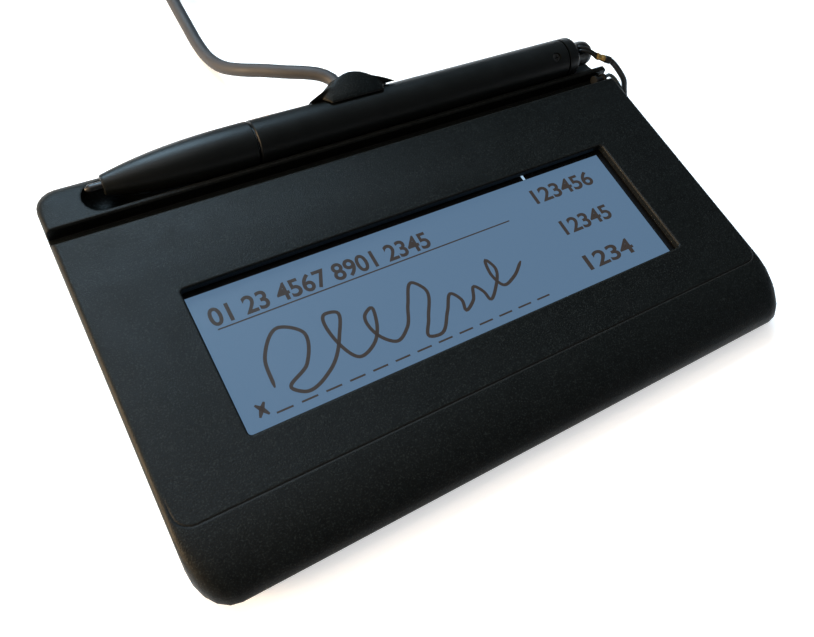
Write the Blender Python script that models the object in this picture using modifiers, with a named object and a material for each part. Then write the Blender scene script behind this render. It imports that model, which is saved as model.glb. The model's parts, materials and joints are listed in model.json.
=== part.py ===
"""A signature pad: a desk-top housing with a sunken signing window, a tethered pen that slides
into a trough along the rear bar, and a coiled USB lead that leaves through a hood over the pen.

Metres. Two frames are used. The desk frame is the world: Z up from the desk that the feet stand on.
The panel frame lies in the sloping top face: X to the right from the middle of the window, Y to the
rear from the window's front edge, Z out of the face.
"""
import math

import bmesh
import bpy
from mathutils import Matrix, Vector

# Fits shared by all pieces
SEAT_GAP = 0.0003
OVERRUN = 0.0040
MERGE = 0.00001

# Housing outline
PANEL_SLOPE = math.radians(2.5)
SIDE_MARGIN = 0.0193
BASE_DEPTH = 0.0090
TRAY_HEIGHT = 0.0040
NOSE_LENGTH = 0.0148
NOSE_DROP = 0.0050
NOSE_TUCK = 0.0040
FRONT_MARGIN = 0.0110
REAR_MARGIN = 0.01945
BAR_DEPTH = 0.0116
NOSE_CORNER_X = 0.0068
NOSE_CORNER_Y = 0.0095
CREASE_CORNER = 0.0035
REAR_CORNER = 0.0050
SIDE_EDGE = 0.0012
REAR_EDGE = 0.0040
TRAY_EDGE = 0.0015
SIDE_WALL = 0.0020
PANEL_WALL = 0.0018
FLOOR_WALL = 0.0016
NOSE_STEPS = 8
TUCK_STEPS = 5
CORNER_STEPS = 5

# Groove and crease
GROOVE_WIDTH = 0.00335
GROOVE_DEPTH = 0.0035
GROOVE_CHAMFER = 0.0004
CREASE_LINE_RADIUS = 0.00022
CREASE_LINE_RUN = 0.0045

# Window opening
WINDOW_WIDTH = 0.1140
WINDOW_DEPTH = 0.0342
WINDOW_CORNER = 0.0008
WINDOW_CHAMFER = 0.0003

# Joint between the covers
TONGUE_WIDTH = 0.0010
TONGUE_HEIGHT = 0.0012
TONGUE_NOSE_INSET = 0.0038

# Cavities under the groove and under the trough
GROOVE_FLOOR = 0.0015
TROUGH_WALL = 0.0020
CAVITY_CORNER = 0.0030
CAVITY_OVERLAP = 0.0050

# Screw bosses and case screws
BOSS_INSET = 0.0093
BOSS_FRONT_Y = 0.0030
BOSS_GROOVE_INSET = 0.00765
BOSS_RADIUS = 0.0032
FLOOR_BOSS_RADIUS = 0.0040
FLOOR_BOSS_HEIGHT = 0.0034
SCREW_RADIUS = 0.0011
SCREW_LENGTH = 0.0050
SCREW_HEAD_RADIUS = 0.0022
SCREW_HEAD_HEIGHT = 0.0012
SCREW_HEAD_DEPTH = 0.0004
ROUND_SIDES = 24
SMALL_SIDES = 16

# Feet
FOOT_HEIGHT = 0.0015
FOOT_RADIUS = 0.0045
FOOT_TAPER = 0.0004
FOOT_POCKET = 0.0006
FOOT_FRONT_INSET = 0.0133
FOOT_FRONT_Y = -0.0145
FOOT_REAR_INSET = 0.0113
FOOT_REAR_MARGIN = 0.0111

# Display stack, from the top
DISPLAY_OVERLAP = 0.0030
WINDOW_PLATE = 0.0008
PANEL_GLASS = 0.0014
PANEL_INSET = 0.0006
GUIDE_THICKNESS = 0.0014
GUIDE_INSET = 0.0030
LED_STRIP_WIDTH = 0.0022
SENSOR_THICKNESS = 0.0008
SHIELD_THICKNESS = 0.0003
SHIELD_LIP = 0.0006

# Boards and their pieces
BOARD_WIDTH = 0.0960
BOARD_WINDOW_GAP = 0.0050
BOARD_GROOVE_GAP = 0.00165
BOARD_THICKNESS = 0.0012
BOARD_POST_HEIGHT = 0.0004
BOARD_POST_RADIUS = 0.0018
BOARD_POST_INSET = 0.0030
CHIP_SIZE = 0.0070
CHIP_HEIGHT = 0.0010
CHIP_X = -0.0180
CRYSTAL_LENGTH = 0.0050
CRYSTAL_WIDTH = 0.0032
CRYSTAL_X = -0.0280
HEADER_WIDTH = 0.0090
HEADER_DEPTH = 0.0036
HEADER_HEIGHT = 0.0026
CONNECTOR_WIDTH = 0.0078
CONNECTOR_DEPTH = 0.0030
CONNECTOR_HEIGHT = 0.0030
RIBBON_WIDTH = 0.0160
RIBBON_THICKNESS = 0.0003
RIBBON_X = 0.0250

# Pen
PEN_RADIUS = 0.00525
PEN_OVERHANG = 0.00035
PEN_AXIS_Z = 0.0008
PEN_WALL = 0.0009
NIB_TIP_X = -0.0660
NOSE_START_X = -0.0624
NOSE_END_X = -0.0284
BARREL_END_X = 0.0627
NIB_RADIUS = 0.0010
NIB_POINT = 0.0007
NIB_STEM_LENGTH = 0.0200
NOSE_TIP_RADIUS = 0.00210
NOSE_OGIVE_POWER = 2.6
NOSE_STATIONS = 12
CORE_TIP_RADIUS = 0.0030
CORE_RETREAT = 0.0020
CAP_SPIGOT_LENGTH = 0.0060
CAP_PROFILE = (
    (0.0, 0.0738), (0.0011, 0.0737), (0.0022, 0.0732), (0.0030, 0.0722), (0.0033, 0.0709), (0.00335, 0.0678),
    (0.0037, 0.0672), (0.00475, 0.0664), (0.0051, 0.0660), (0.00525, 0.0656),
)
CAP_SLOT_X = 0.0676
CAP_SLOT_TURN = math.radians(110)
CAP_SLOT_LENGTH = 0.0019
CAP_SLOT_WIDTH = 0.0028
CAP_SLOT_BOTTOM = 0.0003
PEN_SCREW_X = 0.0588
PEN_SCREW_TURN = math.radians(100)
PEN_SCREW_RADIUS = 0.0012
PEN_SCREW_SINK = 0.0003
PEN_SIDES = 32

# Trough, which follows the pen
TROUGH_CLEARANCE = 0.0004
TROUGH_END_X = -0.0633
TROUGH_END_SHIFT = 0.0017
TROUGH_END_RADIUS = 0.0040
TROUGH_FULL_X = -0.0460
TROUGH_END_STEPS = 5
TROUGH_BLEND_STEPS = 4

# Cable hood
HOOD_X = -0.0010
HOOD_HALF = 0.0132
HOOD_FACE_LEAD = 0.0005
HOOD_FACE_Z = 0.00645
HOOD_FACE_HALF = 0.0070
HOOD_FACE_SLANT = 0.0060
HOOD_FACE_TILT = math.radians(65)
HOOD_OVERHANG = 0.0069
HOOD_BOTTOM_Z = -0.0086
HOOD_REAR_LEAN = 0.0011
HOOD_CLEARANCE = 0.0005
HOOD_SEAT_Z = -0.0033
# Half outline of the sloping face: shares of its half width and of its length up the slope
FACE_SHARES = (
    (1.04, -0.22), (1.0, 0.0), (0.965, 0.14), (0.86, 0.34), (0.75, 0.53), (0.63, 0.71), (0.50, 0.84), (0.36, 0.925),
    (0.18, 0.985), (0.0, 1.0),
)
# Half sections behind the face, from the bottom up: shares of the hood's half width, depth and height
VALLEY_SHARES = (
    (0.682, 0.212, 0.432), (0.659, 0.212, 0.762), (0.621, 0.230, 0.830), (0.553, 0.257, 0.876), (0.470, 0.292, 0.910),
    (0.379, 0.345, 0.944), (0.295, 0.416, 0.969), (0.208, 0.460, 0.986), (0.106, 0.496, 0.997), (0.0, 0.509, 0.999),
)
FLANK_SHARES = (
    (1.0, 0.230, 0.0), (1.0, 0.230, 0.767), (0.864, 0.248, 0.816), (0.705, 0.274, 0.878), (0.561, 0.310, 0.918),
    (0.424, 0.372, 0.935), (0.318, 0.434, 0.961), (0.223, 0.487, 0.975), (0.114, 0.522, 0.983), (0.0, 0.540, 0.985),
)
WAIST_SHARES = (
    (0.955, 0.531, 0.0), (0.909, 0.531, 0.421), (0.712, 0.540, 0.580), (0.530, 0.566, 0.676), (0.394, 0.602, 0.728),
    (0.295, 0.628, 0.759), (0.220, 0.646, 0.779), (0.152, 0.664, 0.793), (0.076, 0.677, 0.802), (0.0, 0.681, 0.804),
)
# The rear face leans, so its depth follows from its height
REAR_SHARES = (
    (0.606, 0.0), (0.394, 0.216), (0.280, 0.421), (0.261, 0.500), (0.220, 0.557), (0.167, 0.591), (0.121, 0.608),
    (0.080, 0.620), (0.038, 0.626), (0.0, 0.628),
)

# Lead
LEAD_RADIUS = 0.0017
LEAD_CLEARANCE = 0.0003
LEAD_SPACING = 0.0038
LEAD_EXIT_Z = -0.0012
GROMMET_WALL = 0.0007
GROMMET_LENGTH = 0.0022
GROMMET_SINK = 0.0002
LEAD_TIE_WIDTH = 0.0016
LEAD_TIE_WALL = 0.0005
LEAD_TIE_SHARE = 0.85

# Tether
TETHER_RADIUS = 0.0008
TETHER_SPACING = 0.0024
RETURN_RADIUS = 0.0005
RETURN_SPACING = 0.0012
LOOP_RADIUS = 0.0004
FERRULE_RADIUS = 0.0011
FERRULE_LENGTH = 0.0024
SLEEVE_RADIUS = 0.0010
SLEEVE_LENGTH = 0.0013
ANCHOR_RADIUS = 0.0014
ANCHOR_LENGTH = 0.0036
ANCHOR_FLANGE = 0.0006
ANCHOR_END_X = 0.0748
ANCHOR_Z = -0.0019
CRIMP_RADIUS = 0.0013
CRIMP_LENGTH = 0.0036

# Coil, tie and plug
COIL_X = 0.0050
COIL_Y = 0.1350
COIL_MEAN_RADIUS = 0.0204
COIL_PITCH = 0.0039
COIL_LAYERS = 4
TURNS_PER_LAYER = 3.18
POINTS_PER_TURN = 24
TIE_THICKNESS = 0.0005
TIE_WIDTH = 0.0060
TIE_CLEARANCE = 0.0004
CLIMB_HALF_TURN = 0.25
TAIL_GAP = 0.0007
TAIL_STATIONS = 7
TAIL_BEND_RADIUS = 0.0142
TAIL_BEND_STATIONS = 6
TAIL_FLOOR_SHARE = 0.85
PLUG_GRIP_LENGTH = 0.0240
PLUG_GRIP_WIDTH = 0.0158
PLUG_GRIP_HEIGHT = 0.0080
PLUG_GRIP_EDGE = 0.0016
PLUG_SHELL_LENGTH = 0.0185
PLUG_SHELL_WIDTH = 0.0120
PLUG_SHELL_HEIGHT = 0.0045
PLUG_SHELL_WALL = 0.0003
PLUG_SHELL_SEAT = 0.0065
PLUG_TONGUE_HEIGHT = 0.0019
PLUG_TONGUE_RETREAT = 0.0005

# Routes of the cords, hand-set points. The free ones are in the desk frame, the inner lead in the panel frame,
# from the rear wall.
ROUTE_STEPS = 16
TETHER_ROUTE = (
    (0.0756, 0.0315, 0.0172), (0.0769, 0.0311, 0.0163), (0.0784, 0.0301, 0.0149), (0.0799, 0.0290, 0.0133),
    (0.0811, 0.0280, 0.0117), (0.0822, 0.0270, 0.0087), (0.0830, 0.0254, 0.0056), (0.0838, 0.0225, 0.0028),
    (0.0846, 0.0180, 0.0012), (0.0851, 0.0110, 0.0008), (0.0854, 0.0010, 0.0008), (0.0854, -0.0090, 0.0008),
    (0.0852, -0.0150, 0.0008), (0.0842, -0.0182, 0.0008), (0.0822, -0.0193, 0.0008), (0.0803, -0.0184, 0.0009),
    (0.0795, -0.0163, 0.0012), (0.0794, -0.0143, 0.0013),
)
RETURN_ROUTE = (
    (0.0794, -0.0103, 0.0013), (0.0794, -0.0085, 0.0012), (0.0793, -0.0060, 0.0007), (0.0791, -0.0025, 0.0005),
    (0.0789, 0.0040, 0.0005), (0.0792, 0.0110, 0.0006), (0.0797, 0.0165, 0.0015), (0.0803, 0.0207, 0.0036),
    (0.0806, 0.0238, 0.0066), (0.0803, 0.0260, 0.0090), (0.0792, 0.0290, 0.0112), (0.0780, 0.0316, 0.0126),
    (0.0776, 0.0326, 0.0131), (0.0772, 0.0324, 0.0130), (0.0770, 0.0314, 0.0126), (0.0762, 0.0305, 0.0123),
    (0.0751, 0.0303, 0.0122),
)
LEAD_ROUTE = (
    (0.0000, 0.0491, 0.01366), (0.0000, 0.0510, 0.01374), (-0.0004, 0.0528, 0.0139), (-0.0019, 0.0549, 0.0139),
    (-0.0046, 0.0571, 0.0135), (-0.0092, 0.0604, 0.0123), (-0.0136, 0.0643, 0.0107), (-0.0178, 0.0690, 0.0081),
    (-0.0206, 0.0748, 0.0050), (-0.0218, 0.0812, 0.0028), (-0.0221, 0.0880, 0.0018), (-0.0220, 0.0960, 0.0017),
    (-0.0218, 0.1060, 0.0017), (-0.0216, 0.1150, 0.0019), (-0.0216, 0.1220, 0.0025),
)
INNER_ROUTE = (
    (0.0, 0.0050, -0.0012), (0.0, 0.0036, -0.0014), (0.0, 0.0022, -0.0026), (0.0, 0.0010, -0.0043),
    (0.0, -0.0003, -0.0062), (0.0, -0.0018, -0.0077), (0.0, -0.0041, -0.0087), (0.0, -0.0071, -0.0089),
    (0.0, -0.0096, -0.0085), (0.0, -0.0112, -0.0081), (0.0, -0.0127, -0.0076), (0.0, -0.0141, -0.00718),
    (0.0, -0.0157, -0.00708),
)
# Tether loop: place along the pen, sideways offset, height from the pen's axis and half the strands' spacing
LOOP_ROUTE = (
    (0.0676, 0.0, 0.0018, 0.00058), (0.0676, 0.0, 0.0024, 0.00062), (0.0676, 0.0, 0.0033, 0.00062),
    (0.0678, -0.0002, 0.0040, 0.00062), (0.0685, -0.0007, 0.0044, 0.00062), (0.0697, -0.0017, 0.0045, 0.00062),
    (0.0709, -0.0026, 0.0044, 0.00056),
)
LOOP_BOTTOM = 0.00140
LOOP_MOUTH_SPREAD = 0.00052

# Places that follow from the sizes above
CREASE_Y = -FRONT_MARGIN
NOSE_Y = CREASE_Y - NOSE_LENGTH
GROOVE_Y = WINDOW_DEPTH + REAR_MARGIN
BAR_Y = GROOVE_Y + GROOVE_WIDTH
REAR_Y = BAR_Y + BAR_DEPTH
BODY_WIDTH = WINDOW_WIDTH + 2 * SIDE_MARGIN
HALF_WIDTH = BODY_WIDTH / 2
BOSS_X = HALF_WIDTH - BOSS_INSET
BOSS_REAR_Y = GROOVE_Y - BOSS_GROOVE_INSET
FOOT_FRONT_X = HALF_WIDTH - FOOT_FRONT_INSET
FOOT_REAR_X = HALF_WIDTH - FOOT_REAR_INSET
FOOT_REAR_Y = REAR_Y - FOOT_REAR_MARGIN
BOARD_FRONT_Y = WINDOW_DEPTH + BOARD_WINDOW_GAP
BOARD_REAR_Y = GROOVE_Y - BOARD_GROOVE_GAP
PEN_AXIS_Y = REAR_Y + PEN_OVERHANG - PEN_RADIUS
TROUGH_END_Y = PEN_AXIS_Y - TROUGH_END_SHIFT
HOOD_FACE_Y = PEN_AXIS_Y + HOOD_FACE_LEAD
HOOD_REAR_Y = REAR_Y + HOOD_OVERHANG
HOOD_HEIGHT = HOOD_FACE_Z + HOOD_FACE_SLANT * math.cos(HOOD_FACE_TILT) - HOOD_BOTTOM_Z
INNER_POINTS = tuple((x, REAR_Y + y, z) for x, y, z in INNER_ROUTE)
SLOPE_COS = math.cos(PANEL_SLOPE)
SLOPE_SIN = math.sin(PANEL_SLOPE)
PANEL_RISE = FOOT_HEIGHT + BASE_DEPTH * SLOPE_COS - NOSE_Y * SLOPE_SIN
FRONT_REACH = NOSE_Y * SLOPE_COS + NOSE_DROP * SLOPE_SIN
REAR_REACH = HOOD_REAR_Y * SLOPE_COS - HOOD_BOTTOM_Z * SLOPE_SIN
PANEL_SHIFT = -(FRONT_REACH + REAR_REACH) / 2
TROUGH_RADIUS = PEN_RADIUS + TROUGH_CLEARANCE


def new_collection(name):
    """A collection in the scene, made once."""
    found = bpy.data.collections.get(name) or bpy.data.collections.new(name)
    if found.name not in bpy.context.scene.collection.children:
        bpy.context.scene.collection.children.link(found)
    return found


def new_material(name, color, roughness, metallic=0.0, alpha=1.0):
    """A plain Principled material."""
    material = bpy.data.materials.new(name)
    material.use_nodes = True
    shader = material.node_tree.nodes["Principled BSDF"]
    shader.inputs["Base Color"].default_value = (*color, 1.0)
    shader.inputs["Roughness"].default_value = roughness
    shader.inputs["Metallic"].default_value = metallic
    shader.inputs["Alpha"].default_value = alpha
    material.diffuse_color = (*color, alpha)
    return material


for leftover in list(bpy.data.objects):
    bpy.data.objects.remove(leftover, do_unlink=True)

PARTS = new_collection("signature_pad")
CUTTERS = new_collection("cutters")
PANEL_FRAME = bpy.data.objects.new("panel_frame", None)
PARTS.objects.link(PANEL_FRAME)
PANEL_FRAME.location = (0, PANEL_SHIFT, PANEL_RISE)
PANEL_FRAME.rotation_euler = (PANEL_SLOPE, 0, 0)
PANEL_TO_DESK = Matrix.Translation(PANEL_FRAME.location) @ Matrix.Rotation(PANEL_SLOPE, 4, "X")

CASE_BLACK = new_material("case_black", (0.030, 0.033, 0.036), 0.55)
PEN_BLACK = new_material("pen_black", (0.018, 0.019, 0.020), 0.38)
RUBBER = new_material("rubber", (0.020, 0.020, 0.020), 0.80)
CORD_BLACK = new_material("cord_black", (0.022, 0.022, 0.023), 0.60)
CORD_GREY = new_material("cord_grey", (0.200, 0.200, 0.200), 0.60)
LEAD_GREY = new_material("lead_grey", (0.080, 0.078, 0.080), 0.50)
BRASS = new_material("brass", (0.700, 0.470, 0.180), 0.35, metallic=1.0)
STEEL = new_material("steel", (0.560, 0.560, 0.570), 0.32, metallic=1.0)
CLEAR = new_material("clear_plate", (0.900, 0.930, 0.950), 0.08, alpha=0.35)
DISPLAY_BLUE = new_material("display_blue", (0.107, 0.191, 0.305), 0.30)
GUIDE_WHITE = new_material("guide_white", (0.800, 0.820, 0.840), 0.40)
BOARD_GREEN = new_material("board_green", (0.030, 0.140, 0.070), 0.45)
CHIP_BLACK = new_material("chip_black", (0.025, 0.025, 0.028), 0.50)
HEADER_WHITE = new_material("header_white", (0.780, 0.760, 0.700), 0.50)
RIBBON_AMBER = new_material("ribbon_amber", (0.420, 0.210, 0.060), 0.40)


def base_level(y, height=0.0):
    """Panel-frame Z of the housing's underside at a panel-frame Y, raised by a height."""
    return -(BASE_DEPTH + (y - NOSE_Y) * math.tan(PANEL_SLOPE)) + height


def to_desk(x, y, z):
    """A panel-frame point in the desk frame."""
    return PANEL_TO_DESK @ Vector((x, y, z))


def on_floor(x, y, height=0.0):
    """The desk-frame point a height above the housing's underside, below panel-frame Y."""
    point = to_desk(x, y, base_level(y))
    return Vector((point.x, point.y, FOOT_HEIGHT + height))


def add_object(name, data, material=None, frame=None, collection=PARTS):
    """Put data in the scene under a name, in the panel frame or, with none, in the desk frame."""
    item = bpy.data.objects.new(name, data)
    collection.objects.link(item)
    item.parent = frame
    if material is not None:
        data.materials.append(material)
    if collection is CUTTERS:
        item.hide_render = True
        item.display_type = "WIRE"
    return item


def finish_mesh(shape, name):
    """Turn a bmesh into a mesh with outward faces and smooth rounded stretches."""
    bmesh.ops.recalc_face_normals(shape, faces=shape.faces)
    mesh = bpy.data.meshes.new(name)
    shape.to_mesh(mesh)
    shape.free()
    mesh.shade_smooth()
    mesh.set_sharp_from_angle(angle=math.radians(35))
    return mesh


def ring_loft(name, rings, triangles=False):
    """A closed mesh through rings of equally many points, with a flat face on each end."""
    shape = bmesh.new()
    loops = []
    for ring in rings:
        loops.append([shape.verts.new(point) for point in ring])
    count = len(loops[0])
    for lower, upper in zip(loops, loops[1:]):
        for index in range(count):
            following = (index + 1) % count
            shape.faces.new((lower[index], lower[following], upper[following], upper[index]))
    if triangles:
        bmesh.ops.triangulate(shape, faces=shape.faces[:], quad_method="SHORT_EDGE")
    shape.faces.new(list(reversed(loops[0])))
    shape.faces.new(loops[-1])
    return finish_mesh(shape, name)


def box_mesh(name, low, high, edge=0.0):
    """A box between two corners, with its edges rounded where an edge radius is given."""
    low = Vector(low)
    high = Vector(high)
    shape = bmesh.new()
    bmesh.ops.create_cube(shape, size=1)
    bmesh.ops.scale(shape, vec=high - low, verts=shape.verts)
    bmesh.ops.translate(shape, vec=(low + high) / 2, verts=shape.verts)
    if edge > 0:
        bmesh.ops.bevel(shape, geom=shape.edges, offset=edge, segments=3, profile=0.5, affect="EDGES")
    return finish_mesh(shape, name)


def rod_mesh(name, start, end, radius, end_radius=None, sides=ROUND_SIDES):
    """A straight round rod or cone between two points."""
    start = Vector(start)
    end = Vector(end)
    run = end - start
    far_radius = radius if end_radius is None else end_radius
    shape = bmesh.new()
    bmesh.ops.create_cone(shape, cap_ends=True, segments=sides, radius1=radius, radius2=far_radius,
                          depth=run.length)
    turn = run.to_track_quat("Z", "Y").to_matrix().to_4x4()
    bmesh.ops.transform(shape, matrix=Matrix.Translation((start + end) / 2) @ turn, verts=shape.verts)
    return finish_mesh(shape, name)


def turned_piece(name, profile, material, sides, frame, closed=False):
    """A piece turned round the local Z axis from (radius, height) points, listed from top to bottom
    down the outer side. A closed profile makes a hollow piece."""
    mesh = bpy.data.meshes.new(name)
    edges = [(index, index + 1) for index in range(len(profile) - 1)]
    if closed:
        edges.append((len(profile) - 1, 0))
    mesh.from_pydata([(radius, 0, height) for radius, height in profile], edges, [])
    item = add_object(name, mesh, material, frame)
    screw = item.modifiers.new("turn", "SCREW")
    screw.axis = "Z"
    screw.angle = math.tau
    screw.steps = sides
    screw.render_steps = sides
    screw.use_merge_vertices = True
    screw.merge_threshold = MERGE
    screw.use_smooth_shade = True
    return item


def boolean(target, tool, operation):
    """Cut a tool out of a target, or join it on."""
    step = target.modifiers.new(tool.name, "BOOLEAN")
    step.operation = operation
    step.solver = "EXACT"
    step.object = tool


def cut(target, name, mesh, frame=None):
    """Cut a shape out of a target and return the cutter."""
    tool = add_object(name, mesh, frame=frame, collection=CUTTERS)
    boolean(target, tool, "DIFFERENCE")
    return tool


def join(target, name, mesh, frame=None):
    """Join a shape onto a target."""
    tool = add_object(name, mesh, frame=frame, collection=CUTTERS)
    boolean(target, tool, "UNION")


def smooth_route(points, spacing):
    """Evenly spaced points along a smooth curve through hand-set points, however unevenly these are set."""
    knots = [Vector(point) for point in points]
    spans = [(later - earlier).length for earlier, later in zip(knots, knots[1:])]
    slopes = [(later - earlier) / span for earlier, later, span in zip(knots, knots[1:], spans)]
    tangents = [slopes[0]]
    for index in range(1, len(slopes)):
        before = spans[index - 1]
        after = spans[index]
        tangents.append((slopes[index - 1] * after + slopes[index] * before) / (before + after))
    tangents.append(slopes[-1])
    dense = []
    for index, span in enumerate(spans):
        for step in range(ROUTE_STEPS):
            t = step / ROUTE_STEPS
            dense.append(knots[index] * (2 * t ** 3 - 3 * t ** 2 + 1) + knots[index + 1] * (3 * t ** 2 - 2 * t ** 3)
                         + tangents[index] * span * (t ** 3 - 2 * t ** 2 + t)
                         + tangents[index + 1] * span * (t ** 3 - t ** 2))
    dense.append(knots[-1])
    travelled = [0.0]
    for earlier, later in zip(dense, dense[1:]):
        travelled.append(travelled[-1] + (later - earlier).length)
    count = max(2, round(travelled[-1] / spacing))
    route = []
    index = 0
    for step in range(count + 1):
        wanted = travelled[-1] * step / count
        while index < len(dense) - 2 and travelled[index + 1] < wanted:
            index += 1
        span = travelled[index + 1] - travelled[index]
        route.append(dense[index].lerp(dense[index + 1], (wanted - travelled[index]) / span))
    return route


def route_length(points):
    """The length of a run of points."""
    return sum((later - earlier).length for earlier, later in zip(points, points[1:]))


def tube_curve(name, points, radius, resolution=2):
    """Curve data for a round tube with closed ends along points."""
    curve = bpy.data.curves.new(name, "CURVE")
    curve.dimensions = "3D"
    curve.bevel_depth = radius
    curve.bevel_resolution = resolution
    curve.use_fill_caps = True
    spline = curve.splines.new("POLY")
    spline.points.add(len(points) - 1)
    for target, point in zip(spline.points, points):
        target.co = (*point, 1.0)
    return curve


def tube_mesh(name, points, radius, resolution=2):
    """A closed tube mesh along points, for cutting with or for being cut."""
    holder = bpy.data.objects.new(name, tube_curve(name, points, radius, resolution))
    PARTS.objects.link(holder)
    graph = bpy.context.evaluated_depsgraph_get()
    mesh = bpy.data.meshes.new_from_object(holder.evaluated_get(graph))
    bpy.data.objects.remove(holder, do_unlink=True)
    shape = bmesh.new()
    shape.from_mesh(mesh)
    bmesh.ops.remove_doubles(shape, verts=shape.verts, dist=MERGE)
    return finish_mesh(shape, name)


def plan_ring(half_width, front, rear, front_corner, rear_corner, level):
    """A rounded rectangle seen from above. Corners are (x radius, y radius), and level gives Z
    from Y, or is one height."""
    quarters = (
        (half_width - front_corner[0], front + front_corner[1], front_corner, -90),
        (half_width - rear_corner[0], rear - rear_corner[1], rear_corner, 0),
        (-half_width + rear_corner[0], rear - rear_corner[1], rear_corner, 90),
        (-half_width + front_corner[0], front + front_corner[1], front_corner, 180),
    )
    ring = []
    for centre_x, centre_y, radii, start in quarters:
        for step in range(CORNER_STEPS + 1):
            angle = math.radians(start + 90 * step / CORNER_STEPS)
            x = centre_x + radii[0] * math.cos(angle)
            y = centre_y + radii[1] * math.sin(angle)
            ring.append((x, y, level(y) if callable(level) else level))
    return ring


def edge_inset(radius, below):
    """How far a rounded edge of a radius has drawn in at a depth below its top."""
    depth = max(radius - max(below, 0.0), 0.0)
    return radius - math.sqrt(radius ** 2 - depth ** 2)


def nose_front(rise, wall=0.0):
    """Y of the rolled front, as a share of its quarter turn, with a wall taken off for the inside."""
    return CREASE_Y - (NOSE_LENGTH - wall) * math.cos(rise * math.pi / 2)


def cover_ring(rise):
    """An outline of the top cover's outer skin, at a share of the front's quarter turn."""
    z = -NOSE_DROP * (1 - math.sin(rise * math.pi / 2))
    side = edge_inset(SIDE_EDGE, -z)
    rear = edge_inset(REAR_EDGE, -z)
    corner_x = NOSE_CORNER_X + (CREASE_CORNER - NOSE_CORNER_X) * rise ** 2
    corner_y = NOSE_CORNER_Y + (CREASE_CORNER - NOSE_CORNER_Y) * rise ** 2
    return plan_ring(HALF_WIDTH - side, nose_front(rise), REAR_Y - rear, (corner_x, corner_y),
                     (REAR_CORNER, REAR_CORNER), z)


def cavity_front_mesh():
    """The hollow under the panel and the rolled front."""
    half = HALF_WIDTH - SIDE_WALL
    rear = GROOVE_Y - SIDE_WALL
    inner_drop = NOSE_DROP - PANEL_WALL
    corner = (NOSE_CORNER_X - SIDE_WALL, NOSE_CORNER_Y - SIDE_WALL)
    small = (PANEL_WALL, PANEL_WALL)
    below = TRAY_HEIGHT - OVERRUN / 2
    rings = [
        plan_ring(half, NOSE_Y + SIDE_WALL, rear, corner, small, lambda y: base_level(y, below)),
        plan_ring(half, NOSE_Y + SIDE_WALL, rear, corner, small, -NOSE_DROP),
    ]
    for rise in (0.33, 0.66, 1.0):
        z = -NOSE_DROP + inner_drop * math.sin(rise * math.pi / 2)
        shrunk = (corner[0] * (1 - rise / 2), corner[1] * (1 - rise / 2))
        rings.append(plan_ring(half, nose_front(rise, SIDE_WALL), rear, shrunk, small, z))
    return ring_loft("cavity_front", rings)


def cavity_rear_mesh(name, front, rear, top, rear_corner):
    """A hollow below the groove or the trough."""
    corner = (rear_corner, rear_corner)
    half = HALF_WIDTH - SIDE_WALL
    small = (PANEL_WALL, PANEL_WALL)
    return ring_loft(name, [
        plan_ring(half, front, rear, small, corner, base_level(REAR_Y, -OVERRUN)),
        plan_ring(half, front, rear, small, corner, top),
    ])


def circle_ring(x, y, z, radius, sides=PEN_SIDES):
    """A ring of points round an axis along X."""
    ring = []
    for index in range(sides):
        angle = math.tau * index / sides
        ring.append((x, y + radius * math.cos(angle), z + radius * math.sin(angle)))
    return ring


def trough_mesh():
    """The pen's trough: a rounded end under the nib that opens into a channel round the barrel."""
    rings = []
    for step in range(TROUGH_END_STEPS):
        angle = math.pi / 2 * (1 - (step + 0.4) / TROUGH_END_STEPS)
        rings.append(circle_ring(TROUGH_END_X - TROUGH_END_RADIUS * math.sin(angle), TROUGH_END_Y, 0,
                                 TROUGH_END_RADIUS * math.cos(angle)))
    for step in range(TROUGH_BLEND_STEPS + 1):
        share = step / TROUGH_BLEND_STEPS
        ease = smooth_share(share)
        rings.append(circle_ring(
            TROUGH_END_X + (TROUGH_FULL_X - TROUGH_END_X) * share,
            TROUGH_END_Y + (PEN_AXIS_Y - TROUGH_END_Y) * ease,
            PEN_AXIS_Z * ease,
            TROUGH_END_RADIUS + (TROUGH_RADIUS - TROUGH_END_RADIUS) * ease,
        ))
    rings.append(circle_ring(HALF_WIDTH + OVERRUN, PEN_AXIS_Y, PEN_AXIS_Z, TROUGH_RADIUS))
    return ring_loft("trough", rings)


def groove_mesh():
    """The cross groove in front of the rear bar, with eased top edges, open at both ends."""
    profile = (
        (GROOVE_Y, -GROOVE_DEPTH), (BAR_Y, -GROOVE_DEPTH), (BAR_Y, -GROOVE_CHAMFER),
        (BAR_Y + GROOVE_CHAMFER, 0), (BAR_Y + GROOVE_CHAMFER, OVERRUN),
        (GROOVE_Y - GROOVE_CHAMFER, OVERRUN), (GROOVE_Y - GROOVE_CHAMFER, 0), (GROOVE_Y, -GROOVE_CHAMFER),
    )
    reach = HALF_WIDTH + OVERRUN
    return ring_loft("groove", [[(x, y, z) for y, z in profile] for x in (-reach, reach)])


def window_mesh():
    """The signing window's opening, with an eased top edge."""
    rings = []
    for grow, z in ((WINDOW_CHAMFER, OVERRUN), (WINDOW_CHAMFER, 0), (0, -WINDOW_CHAMFER),
                    (0, -PANEL_WALL - OVERRUN / 4)):
        corner = (WINDOW_CORNER + grow, WINDOW_CORNER + grow)
        rings.append(plan_ring(WINDOW_WIDTH / 2 + grow, -grow, WINDOW_DEPTH + grow, corner, corner, z))
    return ring_loft("window_opening", rings)


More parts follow.
